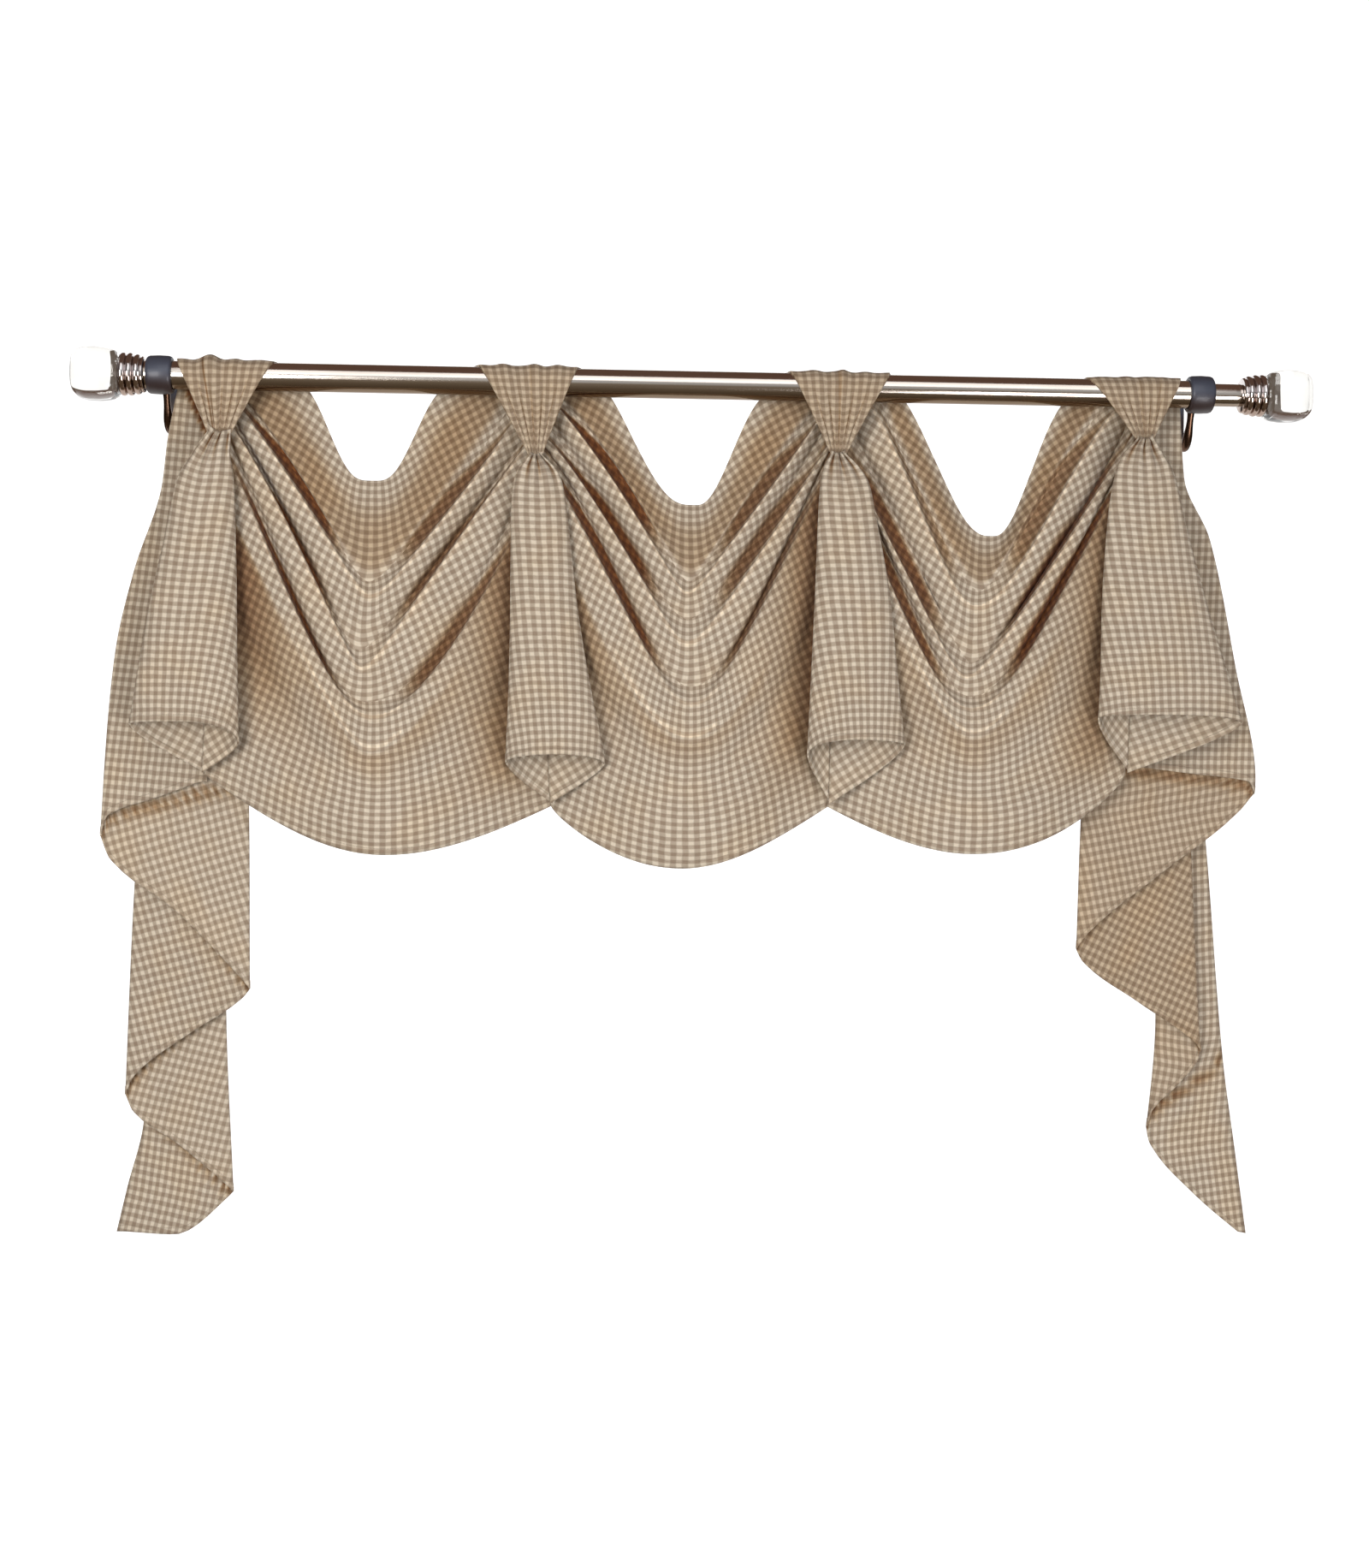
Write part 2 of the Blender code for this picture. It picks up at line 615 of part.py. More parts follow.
def tail_rows(side):
    folds, hems = TAILS[side]
    lines = table(TAIL_FOLD_COLUMNS, folds)

    def place(layer, across, back, z):
        here = lines[layer]
        there = lines[layer + 1]
        x = blend(fold_x(here, z), fold_x(there, z), across)
        d = blend(fold_d(here, z), fold_d(there, z), back)
        return x, z, d

    rows = []
    for step in range(TAIL_ROWS + 1):
        share_down = step / TAIL_ROWS
        row = [
            place(layer, across, back, blend(SEAM_Z, hem, share_down))
            for layer, across, back, hem in tail_columns(hems)
        ]
        rows.append(row if side == "left" else row[::-1])
    return rows


# ---------------------------------------------------------------- the whole drape

def build_cloth():
    cotton = material("checked_cotton", (0.55, 0.46, 0.38), 0.85, 0.0)
    for number in GATHERS:
        sheet(f"tab_{number}", tab_rows(number), cotton)
        sheet(f"horn_{number}", horn_rows(number), cotton)
    for side in SWAGS:
        sheet("swag_" + side, swag_rows(side), cotton)
    for side in TAILS:
        sheet("tail_" + side, tail_rows(side), cotton)


def main():
    for old in list(bpy.data.objects):
        bpy.data.objects.remove(old)
    build_rod()
    build_cloth()


main()
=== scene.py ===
"""Looks of a gingham swag and tail drape on a telescoping rod with glass knobs.

Frame: X runs along the rod, Z is up, and the wall is the plane y = 0. In the tables a place is given
in millimetres as x, z and d, where d is how far in front of the rod's axis it lies.
"""

from __future__ import annotations

import logging
import math
from collections.abc import Sequence
from dataclasses import dataclass
from enum import Enum
from functools import partial

import bmesh
import bpy
import numpy as np
from bpy.types import Material, Node, NodeTree, Object
from mathutils import Matrix, Vector, noise

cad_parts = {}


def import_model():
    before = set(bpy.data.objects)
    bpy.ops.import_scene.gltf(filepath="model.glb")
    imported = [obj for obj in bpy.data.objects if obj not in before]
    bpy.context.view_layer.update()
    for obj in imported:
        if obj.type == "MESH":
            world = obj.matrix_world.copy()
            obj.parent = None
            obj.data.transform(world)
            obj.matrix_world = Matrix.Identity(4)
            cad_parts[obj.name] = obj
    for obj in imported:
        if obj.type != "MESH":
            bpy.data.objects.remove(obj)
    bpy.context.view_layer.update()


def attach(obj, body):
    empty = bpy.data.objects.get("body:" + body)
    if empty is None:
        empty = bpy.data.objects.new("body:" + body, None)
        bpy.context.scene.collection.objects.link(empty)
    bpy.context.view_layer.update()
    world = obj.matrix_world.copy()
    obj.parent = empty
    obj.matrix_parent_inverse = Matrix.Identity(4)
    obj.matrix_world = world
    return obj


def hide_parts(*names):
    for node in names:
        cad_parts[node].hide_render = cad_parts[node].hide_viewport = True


LOG = logging.getLogger("drape")
MM = 0.001
BODY = "root"
UV_NAME = "cloth"
# Attributes that carry the shade and highlight painted into the folds' colour, on the face and on the reverse
PAINTED_SHADE = "painted_shade"
PAINTED_SHADE_BEHIND = "painted_shade_behind"
HEM = "hem_distance"
HEM_GROUP = "hem"
# The word in a fold's fields for each side of a swag: 1 is its left side and -1 its right
WAYS = {1: "left", -1: "right"}

Number = float | np.ndarray
Colour = tuple[float, float, float]
BMesh = bmesh.types.BMesh
Socket = bpy.types.NodeSocket
Feed = Socket | float
Values = dict[str, float | Colour]

# Lie of the cloth, millimetres
CLOTH_THICK = 0.8
HEM_THICK = 1.5
HEM_WIDTH = 7.0
ROD_RADIUS = 13.0
ON_ROD = ROD_RADIUS + 1.15
SEAM_Z = -3.2
SIDE_KNOTS = (0.0, 1.0, 1.5, 2.0, 3.0)
SIDE_DEPTHS = (-ON_ROD, -ON_ROD, -7.0, 6.0, -3.0)
SIDE_BEND = 0.55
TAB_ARC = 14.0
TAB_TURNS = ((0.0, 190.0), (1.0, 90.0), (1.6, 30.0), (2.0, 4.0))
STAND_REACH = 0.45
SWELL_EASE = 1.3

# Rod and fittings, millimetres
WALL_GAP = 85.0
ROD_BORE = 11.0
INNER_RADIUS = 10.7
INNER_BORE = 9.0
ROD_LEFT = -500.0
ROD_RIGHT = 490.0
INNER_LEFT = 250.0
INNER_RIGHT = 526.0
TUBE_EDGE = 0.5
TUBE_LIP = 0.25
FIT = 0.3
RING_WIDTH = 23.0
RING_RADIUS = 17.8
PLATE_WIDTH = 24.0
PLATE_HEIGHT = 56.0
PLATE_THICK = 5.0
PLATE_DROP = 8.0
PLATE_BEVEL = 1.6
ARM_RADIUS = 5.0
ARM_INSET = 2.5
ARM_STEPS = 12
ARM_SWELL = 0.16
ARM_TURNS = 2.6
ARM_FLAT = 0.92
ARM_PATH = (
    (-15.4, -3.0), (-19.5, -17.0), (-27.0, -33.0), (-40.0, -44.0), (-56.0, -42.0), (-68.0, -31.0),
    (-81.0, -22.0),
)
# The knob's outline, as its place along the rod and its radius
KNOB_PROFILE = (
    (23.3, 0.0), (23.6, 12.0), (24.6, 18.6), (27.5, 21.6), (33.0, 23.4), (42.0, 24.3), (52.0, 24.0),
    (59.0, 22.4), (63.5, 19.0), (66.0, 13.5), (67.0, 6.0), (67.2, 0.0),
)
# Edges bent by more than this many degrees stay crisp, on metal, on the collars and on the knobs
SHARP = 40.0
COLLAR_SHARP = 50.0
KNOB_SHARP = 60.0
KNOB_ROUND = 128
KNOB_ALONG = 64
KNOB_SQUARE = 5.0
KNOB_CUT = 0.6
KNOB_EASE = 0.75

# Swags: rows from each fold to the next, and shares of a leg or of a fold's depth
SWAG_STEPS = (9, 14, 10, 18, 10, 18, 10, 9, 12, 11, 12)
RISING_EASE = 1.7
# The upper three valleys, by their place in the list of folds
PANEL_ENDS = (2, 4, 6)
PANEL_START = 0.15
VALLEY_SHARE = 0.75
RIDGE_SHARE = 0.7
# Strength of the painted highlight on the ridges' edges
RIDGE_HIGHLIGHT = 0.6
VALLEY_DROP = {1: 6.0, -1: 2.4}
VALLEY_REACH = 0.24
RIDGE_RISE = 4.0
SOFT_DROP = 1.6
SOFT_RISE = 1.2
FOOT_RISE = 1.5
# How deep a valley is before its sides turn crisp, and over how much more they do, millimetres
CRISP_FROM = 5.0
CRISP_OVER = 4.0
SIDE_LAP = 0.6
SIDE_APART = 0.95
SEAM_LAP = 1.2
SEAM_APART = 0.85
STAND_AT_FOOT = 0.25
SWAG_BIAS = (0.6, 0.44)
SETTLE_ROUNDS = 500
PLEAT_DEPTH = 1.7
PLEAT_REACH = 0.13
PLEAT_TURNS = 3.2
# Painted shade in the slits at the foot and near the gather, and painted shade at the puckers by the gather
SLIT_AT_FOOT = 0.06
SLIT_NEAR = -0.62
PUCKER_REACH = 0.12
PUCKER_SHADE = 0.9
# Spans along a swag's side or over its rows: start, end, and how far each end fades. The puckers, the inside
# and the places beside the horns take painted shade.
PLEAT_SPAN = (0.75, 2.35, 0.3, 0.3)
PUCKER_SPAN = (0.7, 2.4, 0.3, 0.3)
INSIDE_SPAN = (0.0, 2.0, 0.8, 0.5)
BESIDE_SPAN = {1: (8.0, 10.6, 0.12, 2.0), -1: (6.2, 11.2, 1.0, 1.5)}
BESIDE_REACH = {1: 0.5, -1: 0.42}
# Bells over a swag's rows, for the painted highlight on the ridges and the painted shade under the low fold:
# middle, and width before and after it. The first counts from a valley.
RIDGE_HIGHLIGHT_ROW = (1.03, 0.06, 0.14)
LOW_ROW = (8.14, 0.1, 0.6)
LOW_HIGHLIGHT_ROW = (7.96, 0.14, 0.06)
# How far above a valley its painted shade starts, and how softly
SLIT_ABOVE = {1: (0.3, 0.08), -1: (0.4, 0.45)}
SLIT_LOW = 0.4
SLIT_FLOOR = {1: 0.8, -1: 1.0}
SLIT_AT_SIDE = 0.5
# How deep a valley is before it counts as a slit and takes painted shade, and over how much more that shade
# darkens, millimetres
SLIT_FROM = 3.0
SLIT_OVER = 6.0
SLIT_END = 0.97
SLIT_EDGE = 0.14
# Painted shade inside the swag's top, at its middle, under the low fold and beside the horns
INSIDE_SHADE = 0.5
MIDDLE_SHADE = 0.4
LOW_SHADE = 0.32
BESIDE_SHADE = 0.85
SIDE_CALM = 12
# Horns, tabs and tails, millimetres or shares
HORN_ROW_EASE = 1.35
HORN_HEM_EASE = 1.3
HORN_RIM_EASE = 1.5
HORN_CALM = 40.0
FLUTES = 9
FLUTE_WANDER = 0.7
FLUTE_DEPTH = 2.6
FLUTE_FALL = 32.0
FLUTE_SHADE_FALL = 19.2
LIP_DEPTH = 1.2
LIP_FALL = 3.0
TAB_FOOT_D = 17.0
TAB_TUCK = 3.5
TAB_PLEAT = 2.4
TAB_FAN = 0.25
# Painted shade over the whole tab, deeper in its drawn pleats and along its ridges
TAB_SHADE = 0.3
TAB_PLEAT_SHADE = 0.95
TAB_RIDGE_SHADE = 0.8
TAB_INSET = 1.0
TAB_END = 3.0
TAB_DRAWN = 1.5
TAB_WAVES = 23.0
TAB_WAVE_HEIGHT = 0.45
TAB_WAVE_PLACE = (1.2, 0.8, 0.9)
# Painted shade in the hollow beside the first tab, on the left tail's outer layer: reach in millimetres,
# strength and lowest height
HOLLOW = 9.0
HOLLOW_SHADE = 0.95
HOLLOW_FOOT = -74.0
TAIL_TURN = (0.08, 0.42)
TAIL_WEAVE = (1.28, 0.88)
# Painted shadow on a tail's layer just under the hem of the layer in front: strength, and how far down it
# fades in millimetres
TAIL_CONTACT_SHADE = 0.85
CONTACT_SHADE_REACH = 15.0
# Share of the painted shade kept where the cloth looks back to the wall, and where that starts and is full
BACK_SHADE = 0.15
FACES_BACK = (-0.2, -0.45)
# Distances of the last rows from the bottom edge, and one that stands for no hem near
HEM_ROWS = (7.8, 7.0, 3.5, 0.0)
FAR_FROM_HEM = 100.0

# Weave, metres, except the hem's distances, which are millimetres
THREAD = 0.00045
STRIPE_BLUR = 0.085
WEAVE_WANDER = 0.22
SLUBS = (2300.0, 160.0)
WEAVE_BIAS = 0.62
STITCH_FROM_HEM = 6.0
STITCH = 0.0026
STITCH_COLOUR = (0.30, 0.23, 0.16)
COTTON_LIGHT = (0.60, 0.525, 0.42)
COTTON_DARK = (0.262, 0.197, 0.141)
REVERSE_LIGHT = (0.60, 0.52, 0.415)
REVERSE_DARK = (0.28, 0.213, 0.152)
AGED = (1.02, 0.985, 0.93)
# Tints of the shade painted into the folds, soft and deep, and of the highlight painted on the ridges' edges
SHADE_SOFT = (0.72, 0.60, 0.46)
SHADE_DEEP = (0.42, 0.21, 0.10)
EDGE_LIGHT = (1.34, 1.32, 1.28)
# What the painted shade in a fold and the painted highlight on a ridge do to the colour: where each starts,
# where it is full, and the tint
PAINTED_FOLD_TINTS = ((0.0, 0.6, SHADE_SOFT), (0.35, 1.0, SHADE_DEEP), (-0.1, -0.6, EDGE_LIGHT))
WEAVE_RELIEF = 0.00025
METAL_RELIEF = 0.00002
GLASS_RELIEF = 0.0004


class Side(Enum):
    """Which end of the rod, or which swag, a piece belongs to."""

    LEFT = "left"
    MID = "mid"
    RIGHT = "right"


@dataclass(frozen=True)
class Gather:
    """One gather: its own place, the seam behind the rod, the tab's top edge and the foot of the seam."""

    x: float
    z: float
    seam_left: float
    seam_right: float
    top_left: float
    top_right: float
    neck_x: float
    neck_z: float
    waist: float


@dataclass(frozen=True)
class Fold:
    """One ridge or valley of a swag, from its two ends on the sides to its lowest point."""

    from_left: float
    from_right: float
    x: float
    z: float
    d: float
    stand: float
    round: float
    bow: float
    fall_left: float
    fall_right: float


@dataclass(frozen=True)
class Level:
    """One height of a horn: its two side edges, and how far forward front, sides and seam stand."""

    z: float
    left: float
    right: float
    front: float
    side: float
    neck: float


@dataclass(frozen=True)
class TailFold:
    """One upright fold of a tail: its depth at the rod and low down, and its x at several heights."""

    top_d: float
    low_d: float
    x_at_z: tuple[tuple[float, float], ...]


RING_CENTRES = {Side.LEFT: -486.5, Side.RIGHT: 486.5}

# Pleats that start on top of the rod: place across the tab, half width and height in millimetres
TAB_RIDGES = {
    1: ((0.35, 0.09, 4.5), (0.63, 0.06, 0.9)),
    2: ((0.22, 0.08, 1.0), (0.57, 0.07, 1.4), (0.81, 0.06, 1.0)),
    3: ((0.25, 0.09, 0.8), (0.53, 0.05, 2.0)),
    4: ((0.36, 0.10, 0.8), (0.62, 0.10, 1.3), (0.83, 0.06, 1.4)),
}

# How much higher a horn's rim is at its left and right than at its middle
HORN_RISE = {1: (9.0, 3.0), 2: (3.0, 3.0), 3: (3.0, 4.0), 4: (3.0, 5.0)}

# How dark the painted shade in the slits of each swag is, and how far it reaches up, for its left and right
# legs
SLIT_DARK = {
    Side.LEFT: {1: 1.0, -1: 0.75},
    Side.MID: {1: 1.0, -1: 0.75},
    Side.RIGHT: {1: 0.85, -1: 1.0},
}
SLIT_WIDE = {
    Side.LEFT: {1: 1.0, -1: 1.0},
    Side.MID: {1: 1.0, -1: 1.0},
    Side.RIGHT: {1: 0.3, -1: 1.5},
}

# Painted shade on each layer of a tail, from 0 to 1
TAIL_LAYER_SHADE = {Side.LEFT: (0.08, 0.0, 0.05, 0.05, 0.0), Side.RIGHT: (0.08, 0.26, 0.36, 0.24, 0.12)}

# How far the weave leans in each layer of a tail, degrees
TAIL_GRAIN = {Side.LEFT: (5.0, -18.0, -15.0, 14.0, 13.0), Side.RIGHT: (0.0, -12.0, 25.0, 10.0, -8.0)}

GATHERS = {
    1: Gather(-430.0, -54.0, -472.5, -362.0, -471.0, -383.0, -443.0, -368.0, 10.5),
    2: Gather(-141.0, -70.0, -222.0, -78.0, -194.0, -103.0, -124.0, -394.0, 5.5),
    3: Gather(140.0, -64.0, 80.0, 201.0, 96.0, 190.0, 135.0, -393.0, 6.5),
    4: Gather(430.0, -45.0, 366.0, 472.5, 378.0, 467.0, 418.0, -361.0, 7.5),
}

SWAG_GATHERS = {Side.LEFT: (1, 2), Side.MID: (2, 3), Side.RIGHT: (3, 4)}
# Scoop, upper fold, three valleys each with its ridge, low fold, last valley, belly and hem
SWAG_FOLDS = {
    Side.LEFT: (
        Fold(0, 0, -293, -93, -9, 0, 0.48, 2.2, 1.9, 2),
        Fold(0.6, 0.35, -293, -146, 3, 0, 0.3, 1.3, 1.5, 1.2),
        Fold(1.05, 0.62, -294, -188, 12, -10, 0.08, 1, 1.25, 0.9),
        Fold(1.22, 0.82, -292, -201, 13, 10, 0.08, 1, 1.15, 0.86),
        Fold(1.42, 1.35, -302, -252, 17, -10, 0.07, 1, 1.08, 0.93),
        Fold(1.62, 1.58, -299, -268, 19, 11, 0.07, 1, 1.2, 1.02),
        Fold(1.85, 1.95, -293, -302, 23, -9, 0.5, 1, 1.1, 0.92),
        Fold(2.08, 2.14, -289, -313, 25, 9, 0.38, 1, 1.07, 0.86),
        Fold(2.25, 2.3, -289, -345, 28, 6, 0.18, 1, 1, 0.85),
        Fold(2.48, 2.48, -283, -380, 28, -6.6, 0.34, 1, 0.85, 0.7),
        Fold(2.74, 2.74, -280, -410, 30, 2, 0.8, 1, 0.92, 0.85),
        Fold(3, 3, -277, -440, 22, 0, 0.8, 1, 1, 1),
    ),
    Side.MID: (
        Fold(0, 0, 7, -111, -9, 0, 0.24, 1.9, 1.4, 1.9),
        Fold(0.4, 0.45, 4, -152, 3, 0, 0.18, 1.3, 1.35, 1.4),
        Fold(0.74, 0.86, 2, -184, 12, -10, 0.06, 1, 1.33, 1.18),
        Fold(0.98, 1.02, 0, -195, 13, 10, 0.06, 1, 1.22, 0.95),
        Fold(1.26, 1.27, 1, -219, 17, -10, 0.11, 1, 1.05, 0.96),
        Fold(1.55, 1.58, 0, -241, 19, 11, 0.12, 1, 1.22, 0.96),
        Fold(1.8, 1.76, 4, -284, 23, -9, 0.45, 1, 1.35, 1.12),
        Fold(1.98, 1.94, 4, -297, 25, 9, 0.3, 1, 1.18, 1.02),
        Fold(2.15, 2.12, 2, -332, 28, 6, 0.5, 1, 1, 0.9),
        Fold(2.35, 2.32, 0, -368, 28, -6.6, 0.34, 1, 0.8, 0.68),
        Fold(2.68, 2.66, -2, -408, 30, 2, 0.7, 1, 0.82, 0.82),
        Fold(3, 3, -4, -451, 22, 0, 0.65, 1, 0.8, 1),
    ),
    Side.RIGHT: (
        Fold(0, 0, 290, -136, -9, 0, 0.24, 1.65, 1.45, 1.7),
        Fold(0.12, 0.28, 281, -166, 3, 0, 0.2, 1.2, 1.15, 1.4),
        Fold(0.24, 0.5, 275, -188, 10, -7, 0.13, 1, 0.94, 1.24),
        Fold(0.42, 0.7, 271, -204, 12, 8, 0.42, 1, 1.22, 1.3),
        Fold(0.94, 0.9, 267, -257, 17, -10, 0.06, 1, 1, 0.82),
        Fold(1.52, 1.5, 261, -270, 19, 12, 0.1, 1, 0.97, 0.98),
        Fold(1.84, 1.86, 266, -291, 22, -9, 0.3, 1, 1.14, 1.08),
        Fold(2.05, 2.08, 265, -301, 25, 8, 0.38, 1, 1.02, 1.12),
        Fold(2.22, 2.25, 266, -326, 28, 6, 0.2, 1, 0.95, 0.98),
        Fold(2.45, 2.46, 268, -368, 28, -6.6, 0.34, 1, 0.8, 0.75),
        Fold(2.72, 2.72, 269, -402, 30, 2, 0.85, 1, 0.88, 0.82),
        Fold(3, 3, 268, -436, 22, 0, 0.85, 1, 1, 0.8),
    ),
}

# From each horn's waist, as wide as its gather, down to its hem
HORN_LEVELS = {
    1: (
        Level(-54.5, -440.5, -419.5, 20, 17, 13.5),
        Level(-70, -451, -420, 26, 19, 13),
        Level(-100, -467, -416, 31, 21, 12.5),
        Level(-142, -475, -414, 35, 23, 12),
        Level(-204, -488, -412, 39, 25, 11.5),
        Level(-258, -497, -411, 41, 27, 11),
        Level(-330, -508, -409, 42, 28, 11),
    ),
    2: (
        Level(-70.5, -146.5, -135.5, 20, 17, 13.5),
        Level(-84, -157, -122, 26, 19, 13),
        Level(-98, -161, -116, 29, 20, 12.5),
        Level(-125, -163, -112, 33, 22, 12),
        Level(-216, -163, -101, 38, 25, 11.5),
        Level(-290, -164, -88, 42, 27, 11),
        Level(-345, -166, -76, 44, 28, 11),
    ),
    3: (
        Level(-64.5, 133.5, 146.5, 20, 17, 13.5),
        Level(-78, 126, 160, 26, 20, 14),
        Level(-92, 123, 168, 30, 22, 14.5),
        Level(-122, 121, 174, 35, 25, 15),
        Level(-200, 118, 188, 40, 28, 15),
        Level(-270, 115, 195, 43, 30, 15),
        Level(-335, 112, 202, 45, 31, 15),
    ),
    4: (
        Level(-45.5, 422.5, 437.5, 20, 17, 13.5),
        Level(-58, 411, 445, 26, 19, 13),
        Level(-75, 402, 455, 30, 21, 12.5),
        Level(-118, 394, 465, 34, 23, 12),
        Level(-210, 388, 490, 39, 25, 11.5),
        Level(-262, 387, 506, 41, 27, 11),
        Level(-311, 385, 521, 42, 28, 11),
    ),
}
# Height of each horn's hem at its left, middle and right, and at the seam behind
HORN_HEMS = {
    1: (-322, -320, -338, -366),
    2: (-354, -347, -355, -392),
    3: (-344, -331, -335, -391),
    4: (-308, -305, -312, -359),
}

TAIL_SWELL = (-3.0, -330.0)
# From the seam behind the horn, fold by fold, to the free edge
TAIL_FOLDS = {
    Side.LEFT: (
        TailFold(-14.3, -9.0, ((-3, -431), (-59, -431), (-368, -443), (-420, -444))),
        TailFold(-16.0, -14.0, (
            (-3, -472), (-56, -482), (-100, -487), (-180, -512), (-253, -528), (-325, -535), (-432, -541),
        )),
        TailFold(-19.2, -22.0, ((-3, -436), (-120, -425), (-400, -406), (-569, -404))),
        TailFold(-22.4, -30.0, ((-3, -468), (-120, -482), (-474, -512), (-669, -519))),
        TailFold(-25.6, -38.0, ((-3, -440), (-200, -434), (-593, -428), (-760, -420))),
        TailFold(-28.8, -44.0, ((-3, -464), (-200, -478), (-693, -504), (-756, -519), (-800, -529))),
    ),
    Side.RIGHT: (
        TailFold(-14.3, -9.0, ((-3, 431), (-45, 431), (-361, 418), (-420, 417))),
        TailFold(-16.0, -14.0, (
            (-3, 472), (-78, 477), (-135, 502), (-258, 528), (-365, 548), (-395, 544),
        )),
        TailFold(-19.2, -22.0, ((-3, 436), (-120, 410), (-390, 382), (-529, 378))),
        TailFold(-22.4, -30.0, ((-3, 466), (-120, 474), (-438, 491), (-616, 501), (-640, 504))),
        TailFold(-25.6, -38.0, ((-3, 442), (-200, 452), (-597, 460), (-720, 450))),
        TailFold(-28.8, -44.0, (
            (-3, 464), (-200, 485), (-438, 510), (-633, 527), (-725, 540), (-803, 551),
        )),
    ),
}
# Height of the slanted hem where each layer of a tail starts, at its middle and where it ends
TAIL_HEMS = {
    Side.LEFT: (
        (-374, -390, -406), (-446, -494, -556), (-576, -610, -650), (-682, -714, -752), (-766, -800, -797),
    ),
    Side.RIGHT: (
        (-352, -359, -366), (-394, -452, -512), (-540, -578, -616), (-634, -660, -684), (-716, -764, -804),
    ),
}


# ---------------------------------------------------------------- numbers

def blend(low: Number, high: Number, share: Number) -> Number:
    """The value this share of the way from low to high, for numbers or arrays."""
    return low + (high - low) * share


def smooth(share: Number) -> Number:
    """A share from 0 to 1 that starts and ends gently, for numbers or arrays."""
    held = np.clip(share, 0.0, 1.0)
    return held * held * (3 - 2 * held)


def hump(at: Number, middle: Number, below: Number, above: Number) -> np.ndarray:
    """A bell over its middle, with its own width on each side.

    Args:
        at: Places asked for.
        middle: Where the bell is 1.
        below: Its width towards smaller places.
        above: Its width towards larger places.

    Returns:
        The bell's height at each place.
    """
    away = np.asarray(at, float) - middle
    return np.exp(-((away / np.where(away < 0, below, above)) ** 2))


def eased(knots: Sequence[float], values: Sequence[float], at: Number) -> np.ndarray:
    """A smooth curve through values at rising knots that never swings past them.

    Args:
        knots: Rising places along the curve.
        values: The curve's value at each knot.
        at: The place or places asked for.

    Returns:
        The curve's value at each place.
    """
    knots = np.asarray(knots, float)
    values = np.asarray(values, float)
    slopes = np.diff(values) / np.diff(knots)
    tangents = np.concatenate([slopes[:1], np.zeros(len(slopes) - 1), slopes[-1:]])
    before, after = slopes[:-1], slopes[1:]
    same_way = before * after > 0
    total = np.where(same_way, before + after, 1.0)
    tangents[1:-1] = np.where(same_way, 2 * before * after / total, 0.0)
    held = np.clip(at, knots[0], knots[-1])
    index = np.clip(np.searchsorted(knots, held, side="right") - 1, 0, len(knots) - 2)
    span = knots[index + 1] - knots[index]
    f = (held - knots[index]) / span
    start = values[index] * (2 * f**3 - 3 * f**2 + 1) + values[index + 1] * (3 * f**2 - 2 * f**3)
    return start + span * (tangents[index] * (f**3 - 2 * f**2 + f) + tangents[index + 1] * (f**3 - f**2))


def window(at: Number, start: float, end: float, rise: float, fall: float) -> Number:
    """1 from start to end and 0 beyond them, with a gentle rise after start and a gentle fall before end."""
    return smooth((at - start) / rise) * smooth((end - at) / fall)


def to_world(points: np.ndarray) -> np.ndarray:
    """Turns (x, z, d) in millimetres into world places in metres."""
    return np.stack([points[..., 0], -(WALL_GAP + points[..., 2]), points[..., 1]], axis=-1) * MM


def crumple(points: np.ndarray, size: float, seed: float) -> np.ndarray:
    """Soft unevenness from -1 to 1 over (x, z, d) points.

    Args:
        points: Places in millimetres.
        size: How far apart its hollows lie, in millimetres.
        seed: Shifts the pattern, so that no two pieces share it.

    Returns:
        One value for each point.
    """
    flat = points.reshape(-1, 3) / size
    values = [noise.noise(Vector((x + seed, z - seed, seed))) for x, z, _ in flat]
    return np.array(values).reshape(points.shape[:-1])


@dataclass(frozen=True)
class Crumples:
    """Unevenness of a cloth: how high and how wide its broad and its fine hollows are, in millimetres."""

    broad: float
    broad_size: float
    fine: float
    fine_size: float
    shift: float

    def over(self, points: np.ndarray, seed: float) -> np.ndarray:
        """How far each (x, z, d) point is moved forward."""
        broad = self.broad * crumple(points, self.broad_size, seed)
        return broad + self.fine * crumple(points, self.fine_size, seed + self.shift)


SWAG_CRUMPLES = Crumples(1.5, 50.0, 0.5, 15.0, 3.0)
SWAG_SEED = 7.0
HORN_CRUMPLES = Crumples(0.7, 52.0, 0.25, 15.0, 5.0)
HORN_SEED = 31.0
TAIL_CRUMPLES = Crumples(1.1, 70.0, 0.3, 17.0, 2.0)
TAIL_SEED = {Side.LEFT: 61.0, Side.RIGHT: 97.0}


# ---------------------------------------------------------------- cloth

@dataclass
class ClothGrid:
    """All that a cloth piece's mesh needs, from its top row down and from its left column.

    Attributes:
        points: (rows, columns, 3) places as x, z and d, in millimetres.
        weave: (rows - 1, columns - 1, 2, 2, 2) flat place at each face's corners, in millimetres.
        painted_shade: (rows, columns) shade painted into the colour in the folds, from 0 in the open to 1
            deep inside; below 0, a painted highlight.
        hem: (rows, columns) distance from the hemmed edge, in millimetres.
    """

    points: np.ndarray
    weave: np.ndarray
    painted_shade: np.ndarray
    hem: np.ndarray

    def flat_area(self) -> float:
        """Area of the cloth in square metres, measured on its middle surface."""
        p = self.points * MM
        across = p[:-1, 1:] - p[:-1, :-1]
        down = p[1:, :-1] - p[:-1, :-1]
        far_across = p[1:, 1:] - p[1:, :-1]
        far_down = p[1:, 1:] - p[:-1, 1:]
        first = np.linalg.norm(np.cross(across, down), axis=-1) / 2
        second = np.linalg.norm(np.cross(far_across, far_down), axis=-1) / 2
        return float((first + second).sum())


